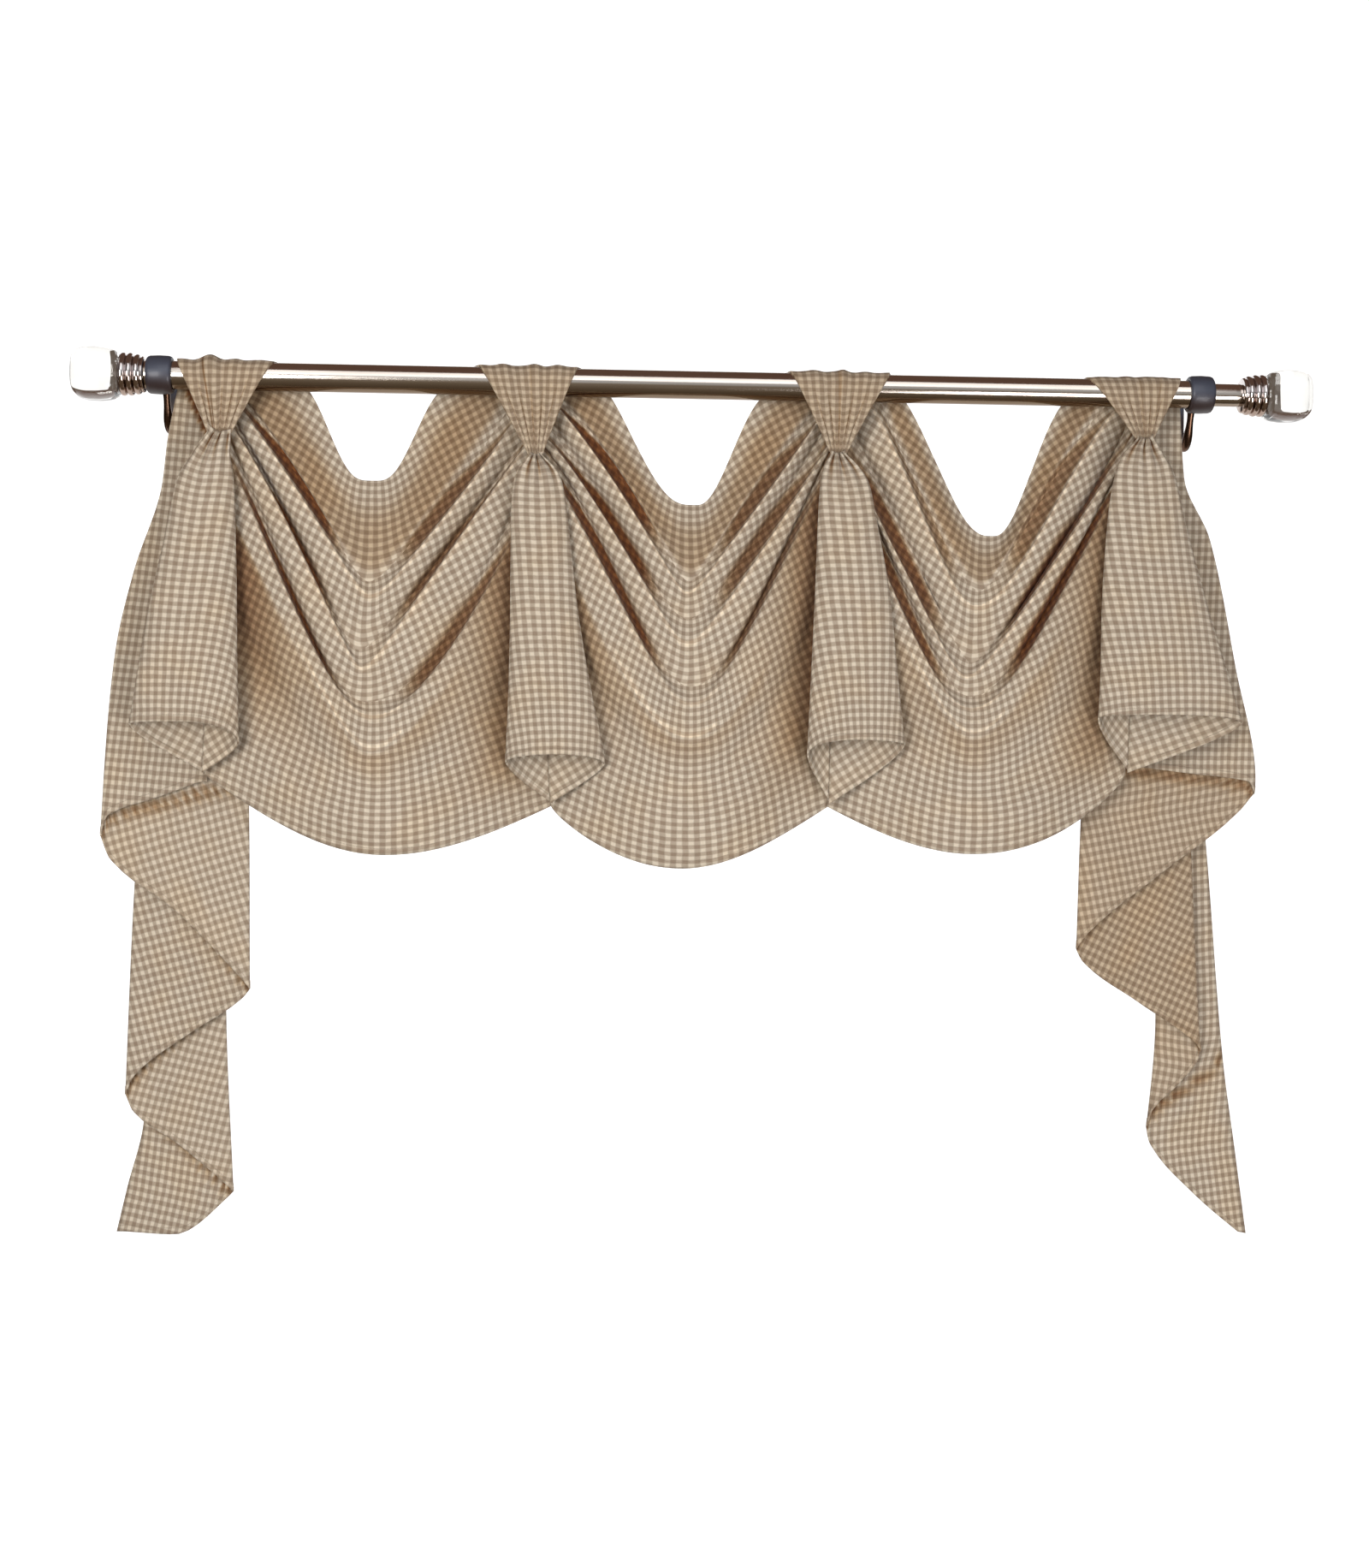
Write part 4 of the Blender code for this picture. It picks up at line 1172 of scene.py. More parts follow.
@dataclass
class Tail(ClothPiece):
    """A tail: one cloth folded to and fro in five upright layers, cut on a slant at the bottom."""

    side: Side
    turn_steps: int = 5
    flat_steps: int = 12
    steps: int = 96

    @property
    def node(self) -> str:
        """The CAD node that this piece stands for."""
        return f"tail_{self.side.value}"

    def column_places(self) -> list[tuple[int, float, float]]:
        """(layer, share of the way across it, share of the way back) for each upright column."""
        last = len(TAIL_HEMS[self.side]) - 1
        near, far = TAIL_TURN
        places = []
        for layer in range(last + 1):
            start = 0.0 if layer == 0 else near
            end = 1.0 if layer == last else 1 - near
            if layer > 0:
                for step in range(1, self.turn_steps):
                    turn = math.pi / 2 * (1 - step / self.turn_steps)
                    places.append((layer, near * (1 - math.sin(turn)), far * math.cos(turn)))
            for step in range(self.flat_steps + 1):
                share = step / self.flat_steps
                places.append((layer, blend(start, end, share), blend(far, 1 - far, share)))
            if layer < last:
                for step in range(1, self.turn_steps + 1):
                    turn = math.pi / 2 * step / self.turn_steps
                    across = 1 - near + near * math.sin(turn)
                    places.append((layer, across, 1 - far * math.cos(turn)))
        return places

    def hem_heights(self, places: list[tuple[int, float, float]]) -> np.ndarray:
        """Height of the slanted hem at each column."""
        knots, heights = [], []
        for layer, (start, middle, end) in enumerate(TAIL_HEMS[self.side]):
            knots += [layer + 0.06, layer + 0.5, layer + 0.94]
            heights += [start, middle, end]
        return eased(knots, heights, np.array([layer + across for layer, across, _ in places]))

    def grid(self) -> ClothGrid:
        """Lays out the tail from the rod to its hem, from its free edge to the seam behind the horn."""
        lines = TAIL_FOLDS[self.side]
        places = self.column_places()
        share = np.linspace(0, 1, self.steps + 1)[:, None]
        z = blend(SEAM_Z, self.hem_heights(places)[None], share)
        top, full = TAIL_SWELL
        swell = smooth((top - z) / (top - full))

        def fold_x(index: int, heights: np.ndarray) -> np.ndarray:
            """Where one fold lies along the rod at these heights."""
            knots = [-height for height, _ in lines[index].x_at_z]
            return eased(knots, [x for _, x in lines[index].x_at_z], -heights)

        points = np.zeros((*z.shape, 3))
        flat = np.zeros(z.shape)
        for column, (layer, across, back) in enumerate(places):
            height, spread = z[:, column], swell[:, column]
            here, there = lines[layer], lines[layer + 1]
            start, end = fold_x(layer, height), fold_x(layer + 1, height)
            before = sum(
                (np.abs(fold_x(k + 1, height) - fold_x(k, height)) for k in range(layer)),
                start=np.zeros(len(height)),
            )
            flat[:, column] = before + across * np.abs(end - start)
            points[:, column, 0] = blend(start, end, across)
            points[:, column, 1] = height
            points[:, column, 2] = blend(
                blend(here.top_d, here.low_d, spread), blend(there.top_d, there.low_d, spread), back
            )
        hollow = np.array([math.sin(math.pi * across) for _, across, _ in places])[None]
        points[..., 2] += TAIL_CRUMPLES.over(points, TAIL_SEED[self.side]) * smooth(-z / 160.0) * hollow
        layers = np.array([layer for layer, _, _ in places])
        # Painted shadow just under the hem of the layer in front, and painted shade over whole layers
        facing = [(layer - 1, 1 - across, 0.0) for layer, across, _ in places if layer > 0]
        covered = np.full(len(places), SEAM_Z)
        covered[layers > 0] = self.hem_heights(facing)
        below = covered[None] - z
        contact_shade = TAIL_CONTACT_SHADE * smooth(1 + below / 3.0) * (1 - smooth(below / CONTACT_SHADE_REACH)) * (layers > 0)
        painted_shade = np.maximum(contact_shade, np.array(TAIL_LAYER_SHADE[self.side])[layers])
        # Painted shade in the hollow beside the first tab, on the outer layer
        if self.side is Side.LEFT:
            gather = GATHERS[1]
            edge = blend(gather.top_left, gather.x - gather.waist, (TAB_ARC - z) / (TAB_ARC - gather.z))
            outer = np.array([layer == 0 for layer, _, _ in places])[None]
            beside = smooth((points[..., 0] - edge + HOLLOW) / 3.0) * smooth((z - HOLLOW_FOOT) / 16.0)
            painted_shade = np.maximum(painted_shade, HOLLOW_SHADE * outer * beside)
        points, hem, painted_shade, flat = with_hem(points, painted_shade, flat)
        weave = np.stack([corners(flat), corners(-points[..., 1])], axis=-1)
        for column, (layer, _, _) in enumerate(places[1:]):
            turn = math.radians(TAIL_GRAIN[self.side][layer])
            outward = 1 if (layer % 2 == 0) == (self.side is Side.RIGHT) else -1
            level, fallen = outward * weave[:, column, ..., 0], weave[:, column, ..., 1]
            turned_level = level * math.cos(turn) + fallen * math.sin(turn)
            weave[:, column, ..., 1] = fallen * math.cos(turn) - level * math.sin(turn)
            weave[:, column, ..., 0] = turned_level
        weave *= TAIL_WEAVE
        if self.side is Side.LEFT:
            points, hem, painted_shade = points[:, ::-1], hem[:, ::-1], painted_shade[:, ::-1]
            weave = weave[:, ::-1, :, ::-1]
        return ClothGrid(points, weave, painted_shade, hem)


# ---------------------------------------------------------------- finishes

class Nodes:
    """Adds nodes to a tree and joins them, so that a finish reads as a short recipe."""

    def __init__(self, tree: NodeTree) -> None:
        """Starts on a tree.

        Args:
            tree: The tree that the nodes go into.
        """
        self.tree = tree

    def add(self, kind: str, **settings: object) -> Node:
        """Adds a node with these settings."""
        node = self.tree.nodes.new(kind)
        for name, value in settings.items():
            setattr(node, name, value)
        return node

    def put(self, value: Feed | Colour, socket: Socket) -> None:
        """Joins a socket to another, or gives it a plain value."""
        if isinstance(value, Socket):
            self.tree.links.new(value, socket)
        else:
            socket.default_value = value

    def math(self, operation: str, *values: Feed) -> Socket:
        """One step of arithmetic on numbers or sockets."""
        node = self.add("ShaderNodeMath", operation=operation)
        for value, socket in zip(values, node.inputs):
            self.put(value, socket)
        return node.outputs[0]

    def scaled(self, value: Feed, gain: float, base: float) -> Socket:
        """A value times its gain, on top of a base."""
        return self.math("ADD", self.math("MULTIPLY", value, gain), base)

    def between(self, value: Feed, low: float, high: float) -> Socket:
        """A gentle step from 0 at low to 1 at high."""
        node = self.add("ShaderNodeMapRange", interpolation_type="SMOOTHSTEP")
        self.put(value, node.inputs["Value"])
        node.inputs["From Min"].default_value = low
        node.inputs["From Max"].default_value = high
        return node.outputs["Result"]

    def mix(
        self, share: Feed, first: Socket | Colour, second: Socket | Colour, blend_type: str = "MIX"
    ) -> Socket:
        """A mix of two colours."""
        node = self.add("ShaderNodeMix", data_type="RGBA", blend_type=blend_type)
        self.put(share, node.inputs["Factor"])
        for value, name in ((first, "A"), (second, "B")):
            socket = next(s for s in node.inputs if s.name == name and s.type == "RGBA")
            self.put(value if isinstance(value, Socket) else (*value, 1.0), socket)
        return next(s for s in node.outputs if s.type == "RGBA")

    def tint(self, share: Feed, cloth: Socket, colour: Colour) -> Socket:
        """A colour multiplied by another, as far as the share says."""
        return self.mix(share, cloth, self.mix(1.0, cloth, colour, "MULTIPLY"))

    def cloud(self, place: Socket, scale: float, detail: float = 2.0) -> Socket:
        """Soft noise from 0 to 1 at a place."""
        node = self.add("ShaderNodeTexNoise")
        self.put(place, node.inputs["Vector"])
        node.inputs["Scale"].default_value = scale
        node.inputs["Detail"].default_value = detail
        return node.outputs["Fac"]

    def stretched(self, place: Socket, x: float, y: float, z: float) -> Socket:
        """A place scaled by its own amount along each axis."""
        node = self.add("ShaderNodeVectorMath", operation="MULTIPLY")
        self.put(place, node.inputs[0])
        node.inputs[1].default_value = (x, y, z)
        return node.outputs[0]

    def relief(self, height: Socket, depth: float, shader: Node) -> None:
        """Gives a shader fine relief, this deep in metres."""
        bump = self.add("ShaderNodeBump")
        bump.inputs["Distance"].default_value = depth
        self.put(height, bump.inputs["Height"])
        self.put(bump.outputs["Normal"], shader.inputs["Normal"])


def set_inputs(node: Node, values: Values) -> None:
    """Gives a node's inputs plain values, by name. A colour is made opaque."""
    for name, value in values.items():
        node.inputs[name].default_value = (*value, 1.0) if isinstance(value, tuple) else value


def new_group(name: str, inputs: dict[str, str], outputs: dict[str, str]) -> NodeTree:
    """An empty node group with these sockets.

    Args:
        name: The group's name.
        inputs: Socket type of each input, by name.
        outputs: Socket type of each output, by name.

    Returns:
        The group, holding one input node and one output node.
    """
    tree = bpy.data.node_groups.new(name, "ShaderNodeTree")
    for label, kind in inputs.items():
        tree.interface.new_socket(name=label, in_out="INPUT", socket_type=kind)
    for label, kind in outputs.items():
        tree.interface.new_socket(name=label, in_out="OUTPUT", socket_type=kind)
    tree.nodes.new("NodeGroupInput")
    tree.nodes.new("NodeGroupOutput")
    return tree


def gingham_group() -> NodeTree:
    """The woven check: cream and brown stripes both ways, with threads, stitches, painted shade and highlight
    from the folds, and slight wear.
    """
    colour, number = "NodeSocketColor", "NodeSocketFloat"
    # The Fold input carries the shade painted into the folds
    tree = new_group(
        "gingham",
        {"Light": colour, "Dark": colour, "Across": number, "Down": number, "Fold": number},
        {"Color": colour, "Roughness": number, "Height": number},
    )
    start = tree.nodes["Group Input"].outputs
    end = tree.nodes["Group Output"].inputs
    n = Nodes(tree)
    place = n.add("ShaderNodeUVMap", uv_map=UV_NAME).outputs["UV"]
    split = n.add("ShaderNodeSeparateXYZ")
    n.put(place, split.inputs[0])
    along, down = split.outputs["X"], split.outputs["Y"]
    wander = n.math("MULTIPLY", n.math("SUBTRACT", n.cloud(place, 90.0), 0.5), WEAVE_WANDER)

    def stripe(value: Socket, pitch: Socket) -> Socket:
        """Stripes of this pitch across one way of the cloth, from 0 on light threads to 1 on dark."""
        turns = n.math("ADD", n.math("DIVIDE", value, pitch), wander)
        return n.between(n.math("PINGPONG", turns, 0.5), 0.25 - STRIPE_BLUR, 0.25 + STRIPE_BLUR)

    def thread(value: Socket) -> Socket:
        """A wave that rises and falls once a pair of threads."""
        return n.math("SINE", n.math("MULTIPLY", value, math.pi / THREAD))

    warp, weft = stripe(along, start["Across"]), stripe(down, start["Down"])
    ridges = n.math("MULTIPLY", thread(along), thread(down))
    on_top = n.scaled(n.between(ridges, -0.5, 0.5), 0.5, 0.25)
    slubs, slubs_too = (n.cloud(n.stretched(place, *way, 1.0), 1.0, 1.0) for way in (SLUBS, SLUBS[::-1]))
    from_warp = n.math("MULTIPLY", warp, on_top)
    from_weft = n.math("MULTIPLY", weft, n.math("SUBTRACT", 1.0, on_top))
    shade = n.math("POWER", n.math("ADD", from_warp, from_weft), WEAVE_BIAS)
    cloth = n.mix(shade, start["Light"], start["Dark"])
    uneven = n.scaled(n.math("ADD", slubs, slubs_too), 0.16, 0.84)
    patchy = n.scaled(n.cloud(place, 24.0), 0.14, 0.93)
    grey = n.add("ShaderNodeCombineColor")
    for socket in grey.inputs:
        n.put(n.math("MULTIPLY", uneven, patchy), socket)
    cloth = n.mix(1.0, cloth, grey.outputs[0], "MULTIPLY")
    cloth = n.tint(n.between(n.cloud(place, 17.0), 0.42, 0.68), cloth, AGED)

    hem = n.add("ShaderNodeAttribute", attribute_name=HEM).outputs["Fac"]
    line = n.between(n.math("ABSOLUTE", n.math("SUBTRACT", hem, STITCH_FROM_HEM)), 0.55, 0.15)
    dash = n.between(n.math("PINGPONG", n.math("DIVIDE", along, STITCH), 0.5), 0.1, 0.16)
    sewn = n.math("MULTIPLY", line, dash)
    cloth = n.mix(n.math("MULTIPLY", sewn, 0.5), cloth, STITCH_COLOUR)
    # Painted shade in the folds and painted highlight on the ridges' edges
    for low, high, tint in PAINTED_FOLD_TINTS:
        cloth = n.tint(n.between(start["Fold"], low, high), cloth, tint)
    n.put(cloth, end["Color"])
    n.put(n.scaled(slubs, 0.12, 0.8), end["Roughness"])
    threads = n.math("MULTIPLY", n.math("ABSOLUTE", ridges), 0.5)
    height = n.math("ADD", threads, n.math("MULTIPLY", slubs_too, 0.5))
    n.put(n.math("SUBTRACT", height, n.math("MULTIPLY", line, 1.4)), end["Height"])
    return tree


def metal_group() -> NodeTree:
    """Drawn metal: fine scratches along the rod, a cloudy polish with faint wear in patches, and painted
    shade that makes the underside darker and warmer.
    """
    colour, number = "NodeSocketColor", "NodeSocketFloat"
    tree = new_group(
        "drawn metal",
        {"Bright": colour, "WearAndPaintedShade": colour, "Polish": number, "Brushed": number},
        {"Color": colour, "Roughness": number, "Height": number},
    )
    start = tree.nodes["Group Input"].outputs
    end = tree.nodes["Group Output"].inputs
    n = Nodes(tree)
    place = n.add("ShaderNodeTexCoord").outputs["Object"]
    hair = n.cloud(n.stretched(place, 14.0, 2600.0, 2600.0), 1.0, 2.0)
    cloudy = n.cloud(n.stretched(place, 9.0, 30.0, 30.0), 1.0, 3.0)
    split = n.add("ShaderNodeSeparateXYZ")
    n.put(place, split.inputs[0])
    # Painted shade on the lower half, by height, on top of faint patches of wear; both take the darker second
    # colour
    under = n.between(split.outputs["Z"], 0.003, -0.013)
    wear_and_painted_light = n.math("MAXIMUM", n.math("MULTIPLY", n.between(cloudy, 0.35, 0.8), 0.2), under)
    n.put(n.mix(wear_and_painted_light, start["Bright"], start["WearAndPaintedShade"]), end["Color"])
    rough = n.math("ADD", start["Polish"], n.math("MULTIPLY", cloudy, 0.08))
    n.put(n.math("ADD", rough, n.math("MULTIPLY", hair, start["Brushed"])), end["Roughness"])
    n.put(n.math("MULTIPLY", hair, start["Brushed"]), end["Height"])
    return tree


def new_material(name: str, values: Values) -> tuple[Material, Nodes, Node]:
    """A plain material.

    Args:
        name: The material's name.
        values: Its shader's own values, by input.

    Returns:
        The material, its nodes and its shader.
    """
    made = bpy.data.materials.new(name)
    made.use_nodes = True
    shader = made.node_tree.nodes["Principled BSDF"]
    set_inputs(shader, values)
    return made, Nodes(made.node_tree), shader


def join_group(n: Nodes, shader: Node, tree: NodeTree, values: Values, depth: float) -> Node:
    """Feeds a shader from a shared group.

    Args:
        n: The material's nodes.
        shader: Its shader.
        tree: The shared group.
        values: The group's input values, by name.
        depth: How deep the group's height is, in metres.

    Returns:
        The group's node.
    """
    group = n.add("ShaderNodeGroup", node_tree=tree)
    set_inputs(group, values)
    n.put(group.outputs["Color"], shader.inputs["Base Color"])
    n.put(group.outputs["Roughness"], shader.inputs["Roughness"])
    n.relief(group.outputs["Height"], depth, shader)
    return group


@dataclass(frozen=True)
class Gingham:
    """A side of the checked cotton: its two thread colours and the size of its check in metres."""

    name: str
    light: Colour
    dark: Colour
    across: float = 0.0085
    down: float = 0.0073
    shade: str = PAINTED_SHADE
    sheen: float = 0.06

    def material(self, tree: NodeTree) -> Material:
        """Makes the cotton's material from the shared weave."""
        own = {"Sheen Weight": self.sheen, "Sheen Roughness": 0.45, "Specular IOR Level": 0.25}
        made, n, shader = new_material(self.name, own)
        values = {"Light": self.light, "Dark": self.dark, "Across": self.across, "Down": self.down}
        group = join_group(n, shader, tree, values, WEAVE_RELIEF)
        # The painted fold shade comes from the cloth's own attribute
        n.put(n.add("ShaderNodeAttribute", attribute_name=self.shade).outputs["Fac"], group.inputs["Fold"])
        return made


@dataclass(frozen=True)
class ClothFinish:
    """The two sides of the cloth."""

    face: Material
    reverse: Material


@dataclass(frozen=True)
class Metal:
    """A metal: its clean colour, a darker colour for wear and for the painted shade underneath, its polish
    and how strongly it is brushed.
    """

    name: str
    bright: Colour
    wear_and_painted_light: Colour
    polish: float
    brushed: float
    metallic: float = 1.0
    coat: float = 0.0

    def material(self, tree: NodeTree) -> Material:
        """Makes the metal's material from the shared drawn metal."""
        made, n, shader = new_material(self.name, {"Metallic": self.metallic, "Coat Weight": self.coat})
        values = {"Bright": self.bright, "WearAndPaintedShade": self.wear_and_painted_light, "Polish": self.polish, "Brushed": self.brushed}
        join_group(n, shader, tree, values, METAL_RELIEF)
        return made


@dataclass(frozen=True)
class Glass:
    """Clear glass with a faint unevenness left by the mould."""

    name: str
    colour: Colour
    ior: float = 1.5

    def material(self) -> Material:
        """Makes the glass material."""
        own = {"Base Color": self.colour, "Metallic": 0.0, "Transmission Weight": 1.0, "IOR": self.ior}
        made, n, shader = new_material(self.name, own)
        uneven = n.cloud(n.add("ShaderNodeTexCoord").outputs["Object"], 45.0, 1.0)
        n.put(n.math("MULTIPLY", uneven, 0.03), shader.inputs["Roughness"])
        n.relief(uneven, GLASS_RELIEF, shader)
        return made


# ---------------------------------------------------------------- rod and fittings

def link_hard(name: str, bm: BMesh, finish: Material, sharp: float) -> Object:
    """Turns a bmesh into a finished hard piece that rides on the object.

    Args:
        name: The piece's name.
        bm: Its mesh, which is freed.
        finish: Its material.
        sharp: Edges bent by more than this many degrees stay crisp.

    Returns:
        The piece.
    """
    bmesh.ops.recalc_face_normals(bm, faces=bm.faces)
    # On a piece that curves back on itself the guess above can settle on the inside.
    if bm.calc_volume(signed=True) < 0:
        bmesh.ops.reverse_faces(bm, faces=bm.faces)
    made = mesh_object(name, bm, finish)
    made.data.shade_smooth()
    made.data.set_sharp_from_angle(angle=math.radians(sharp))
    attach(made, BODY)
    LOG.info("%s: %d faces", name, len(made.data.polygons))
    return made


def turned(profile: list[tuple[float, float]], start: float, toward: int, steps: int = 96) -> BMesh:
    """A mesh turned about the rod's axis.

    Args:
        profile: (along, radius) pairs in millimetres; it is closed on itself where it starts off the axis.
        start: Where along the rod it is measured from.
        toward: 1 to run to the right, -1 to run to the left.
        steps: Faces once round.

    Returns:
        The mesh.
    """
    bm = bmesh.new()
    places = to_world(np.array([(start + toward * along, radius, 0.0) for along, radius in profile]))
    made = [bm.verts.new(place) for place in places]
    edges = [bm.edges.new(pair) for pair in zip(made, made[1:])]
    if profile[0][1] > 0:
        edges.append(bm.edges.new((made[-1], made[0])))
    bmesh.ops.spin(
        bm, geom=made + edges, cent=(0.0, -WALL_GAP * MM, 0.0), axis=(1, 0, 0), dvec=(0, 0, 0),
        angle=2 * math.pi, steps=steps, use_merge=True, use_duplicate=False,
    )
    bmesh.ops.remove_doubles(bm, verts=bm.verts, dist=1e-6)
    return bm


def rib(middle: float, half: float, foot: float, height: float, steps: int = 8) -> list[tuple[float, float]]:
    """A round rib on a profile, as (along, radius) pairs."""
    return [
        (middle - half * math.cos(math.pi * i / steps), foot + height * math.sin(math.pi * i / steps))
        for i in range(steps + 1)
    ]


@dataclass
class Rod:
    """The telescoping rod: an outer tube with a rolled end, and the thinner tube that slides in it."""

    metal: Material

    def tube(self, node: str, left: float, right: float, radius: float, bore: float, lip: float) -> None:
        """One tube, with its edges broken and its open end rolled over the thinner tube.

        Args:
            node: The CAD node that it stands for.
            left: Where it starts along the rod, in millimetres, as all that follow.
            right: Where it ends.
            radius: Its outer radius.
            bore: Its inner radius.
            lip: How far its rolled end stands out.
        """
        length = right - left
        soft = TUBE_EDGE
        profile = [
            (soft, bore), (0.0, bore + soft), (0.0, radius - soft), (soft, radius),
            (length - 9.0, radius), (length - 7.5, radius + lip), (length - 1.2, radius + lip),
            (length, radius - 0.4), (length, bore + soft), (length - soft, bore),
        ]
        made = link_hard(node + "_tube", turned(profile, left, 1), self.metal, SHARP)
        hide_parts(node)

    def build(self) -> None:
        """Makes both tubes."""
        self.tube("rod_outer", ROD_LEFT, ROD_RIGHT, ROD_RADIUS, ROD_BORE, TUBE_LIP)
        self.tube("rod_inner", INNER_LEFT, INNER_RIGHT, INNER_RADIUS, INNER_BORE, 0.0)


@dataclass
class Finial:
    """A finial: a ribbed collar plugged into the rod, and the glass knob that it holds."""

    side: Side
    collar_metal: Material
    glass: Material

    @property
    def start(self) -> tuple[float, int, float]:
        """Where the finial starts, which way it points, and the radius of its plug."""
        if self.side is Side.LEFT:
            return ROD_LEFT, -1, ROD_BORE - FIT
        return INNER_RIGHT, 1, INNER_BORE - FIT

    def collar(self) -> None:
        """The collar: a flange and three rolled ribs that widen towards the knob."""
        start, toward, plug = self.start
        profile = [(-14.0, 0.0), (-14.0, plug - 0.8), (-13.2, plug), (FIT, plug), (FIT, 15.2), (0.9, 16.3)]
        profile += [(2.2, 16.6), (3.2, 15.6), *rib(6.6, 3.0, 15.4, 3.0), *rib(13.0, 3.0, 16.6, 3.0)]
        profile += [*rib(19.4, 2.9, 17.4, 2.4), (23.0, 17.0), (23.0, 0.0)]
        bm = turned(profile, start, toward)
        made = link_hard(f"collar_{self.side.value}", bm, self.collar_metal, COLLAR_SHARP)
        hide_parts(f"finial_collar_{self.side.value}")

    def knob(self) -> None:
        """The knob: a cushion-cut block of glass with rounded corners."""
        start, toward, _ = self.start
        bm = bmesh.new()
        bmesh.ops.create_uvsphere(bm, u_segments=KNOB_ROUND, v_segments=KNOB_ALONG, radius=1.0)
        alongs = [place for place, _ in KNOB_PROFILE]
        radii = [radius for _, radius in KNOB_PROFILE]
        for vert in bm.verts:
            turn = math.atan2(vert.co.y, vert.co.x)
            share = math.acos(max(-1.0, min(1.0, vert.co.z))) / math.pi
            ease = blend(share, (1 - math.cos(math.pi * share)) / 2, KNOB_EASE)
            along = blend(alongs[0], alongs[-1], ease)
            square = abs(math.cos(turn)) ** KNOB_SQUARE + abs(math.sin(turn)) ** KNOB_SQUARE
            square = square ** (-1 / KNOB_SQUARE)
            radius = float(eased(alongs, radii, along)) * blend(1.0, square, KNOB_CUT)
            place = (start + toward * along, radius * math.sin(turn), radius * math.cos(turn))
            vert.co = to_world(np.array(place))
        made = link_hard(f"knob_{self.side.value}", bm, self.glass, KNOB_SHARP)
        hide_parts(f"finial_knob_{self.side.value}")

    def build(self) -> None:
        """Makes the collar and the knob."""
        self.collar()
        self.knob()


@dataclass
class Bracket:
    """A wall bracket: the ring clasp round the rod, its cast arm and the plate on the wall."""

    side: Side
    metal: Material
    cast: Material

    @property
    def centre(self) -> float:
        """Where the ring's middle lies along the rod."""
        return RING_CENTRES[self.side]

    @property
    def foot(self) -> float:
        """Where the arm and the plate lie along the rod, a little further in than the ring."""
        return self.centre + (-ARM_INSET if self.side is Side.RIGHT else ARM_INSET)

    def ring(self) -> None:
        """The ring: a drum with soft shoulders."""
        half = RING_WIDTH / 2
        bore = ROD_RADIUS + FIT
        profile = [(-half + 0.6, bore), (-half, bore + 0.8), (-half, 15.4), (-half + 0.9, 16.6)]
        profile += [(-half + 3.0, 17.4), (0.0, RING_RADIUS), (half - 3.0, 17.4), (half - 0.9, 16.6)]
        profile += [(half, 15.4), (half, bore + 0.8), (half - 0.6, bore)]
        bm = turned(profile, self.centre, 1)
        made = link_hard(f"clasp_{self.side.value}", bm, self.metal, SHARP)
        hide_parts(f"bracket_{self.side.value}")

    def arm(self) -> None:
        """The arm: a cast bar that swells and thins along its curve."""
        knots = range(len(ARM_PATH))
        steps = ARM_STEPS * (len(ARM_PATH) - 1)
        at = np.linspace(0, len(ARM_PATH) - 1, steps + 1)
        d = eased(knots, [place[0] for place in ARM_PATH], at)
        z = eased(knots, [place[1] for place in ARM_PATH], at)
        route = np.stack([np.full(len(at), self.foot), z, d], axis=-1)
        ahead = np.gradient(route, axis=0)
        ahead /= np.linalg.norm(ahead, axis=-1, keepdims=True)
        side = np.array([1.0, 0.0, 0.0])
        bm = bmesh.new()
        bmesh.ops.create_cone(bm, cap_ends=True, segments=28, radius1=1.0, radius2=1.0, depth=1.0)
        walls = [edge for edge in bm.edges if abs(edge.verts[0].co.z - edge.verts[1].co.z) > 0.5]
        bmesh.ops.subdivide_edges(bm, edges=walls, cuts=steps - 1, use_grid_fill=False)
        for vert in bm.verts:
            row = min(max(round((vert.co.z + 0.5) * steps), 0), steps)
            turn = math.atan2(vert.co.y, vert.co.x)
            swell = ARM_RADIUS * (1 - ARM_SWELL + ARM_SWELL * math.cos(at[row] * ARM_TURNS))
            up = np.cross(side, ahead[row])
            place = route[row] + swell * (ARM_FLAT * math.cos(turn) * side + math.sin(turn) * up)
            vert.co = to_world(place)
        link_hard(f"arm_{self.side.value}", bm, self.cast, SHARP)

    def plate(self) -> None:
        """The wall plate: an upright slab with round ends and a bevelled rim."""
        half = PLATE_WIDTH / 2
        straight = PLATE_HEIGHT / 2 - half
        bm = bmesh.new()
        bmesh.ops.create_circle(bm, cap_ends=True, segments=64, radius=half)
        for vert in bm.verts:
            lift = straight if vert.co.y >= 0 else -straight
            place = (self.foot + vert.co.x, vert.co.y + lift - PLATE_DROP, -WALL_GAP)
            vert.co = to_world(np.array(place))
        made = bmesh.ops.extrude_face_region(bm, geom=list(bm.faces))
        front = [item for item in made["geom"] if isinstance(item, bmesh.types.BMVert)]
        bmesh.ops.translate(bm, verts=front, vec=(0, -PLATE_THICK * MM, 0))
        rim = [edge for edge in bm.edges if all(vert in front for vert in edge.verts)]
        bmesh.ops.bevel(bm, geom=rim, offset=PLATE_BEVEL * MM, segments=4, affect="EDGES", profile=0.5)
        link_hard(f"wall_plate_{self.side.value}", bm, self.metal, SHARP)

    def build(self) -> None:
        """Makes the ring, the arm and the plate."""
        self.ring()
        self.arm()
        self.plate()


# ---------------------------------------------------------------- the studio

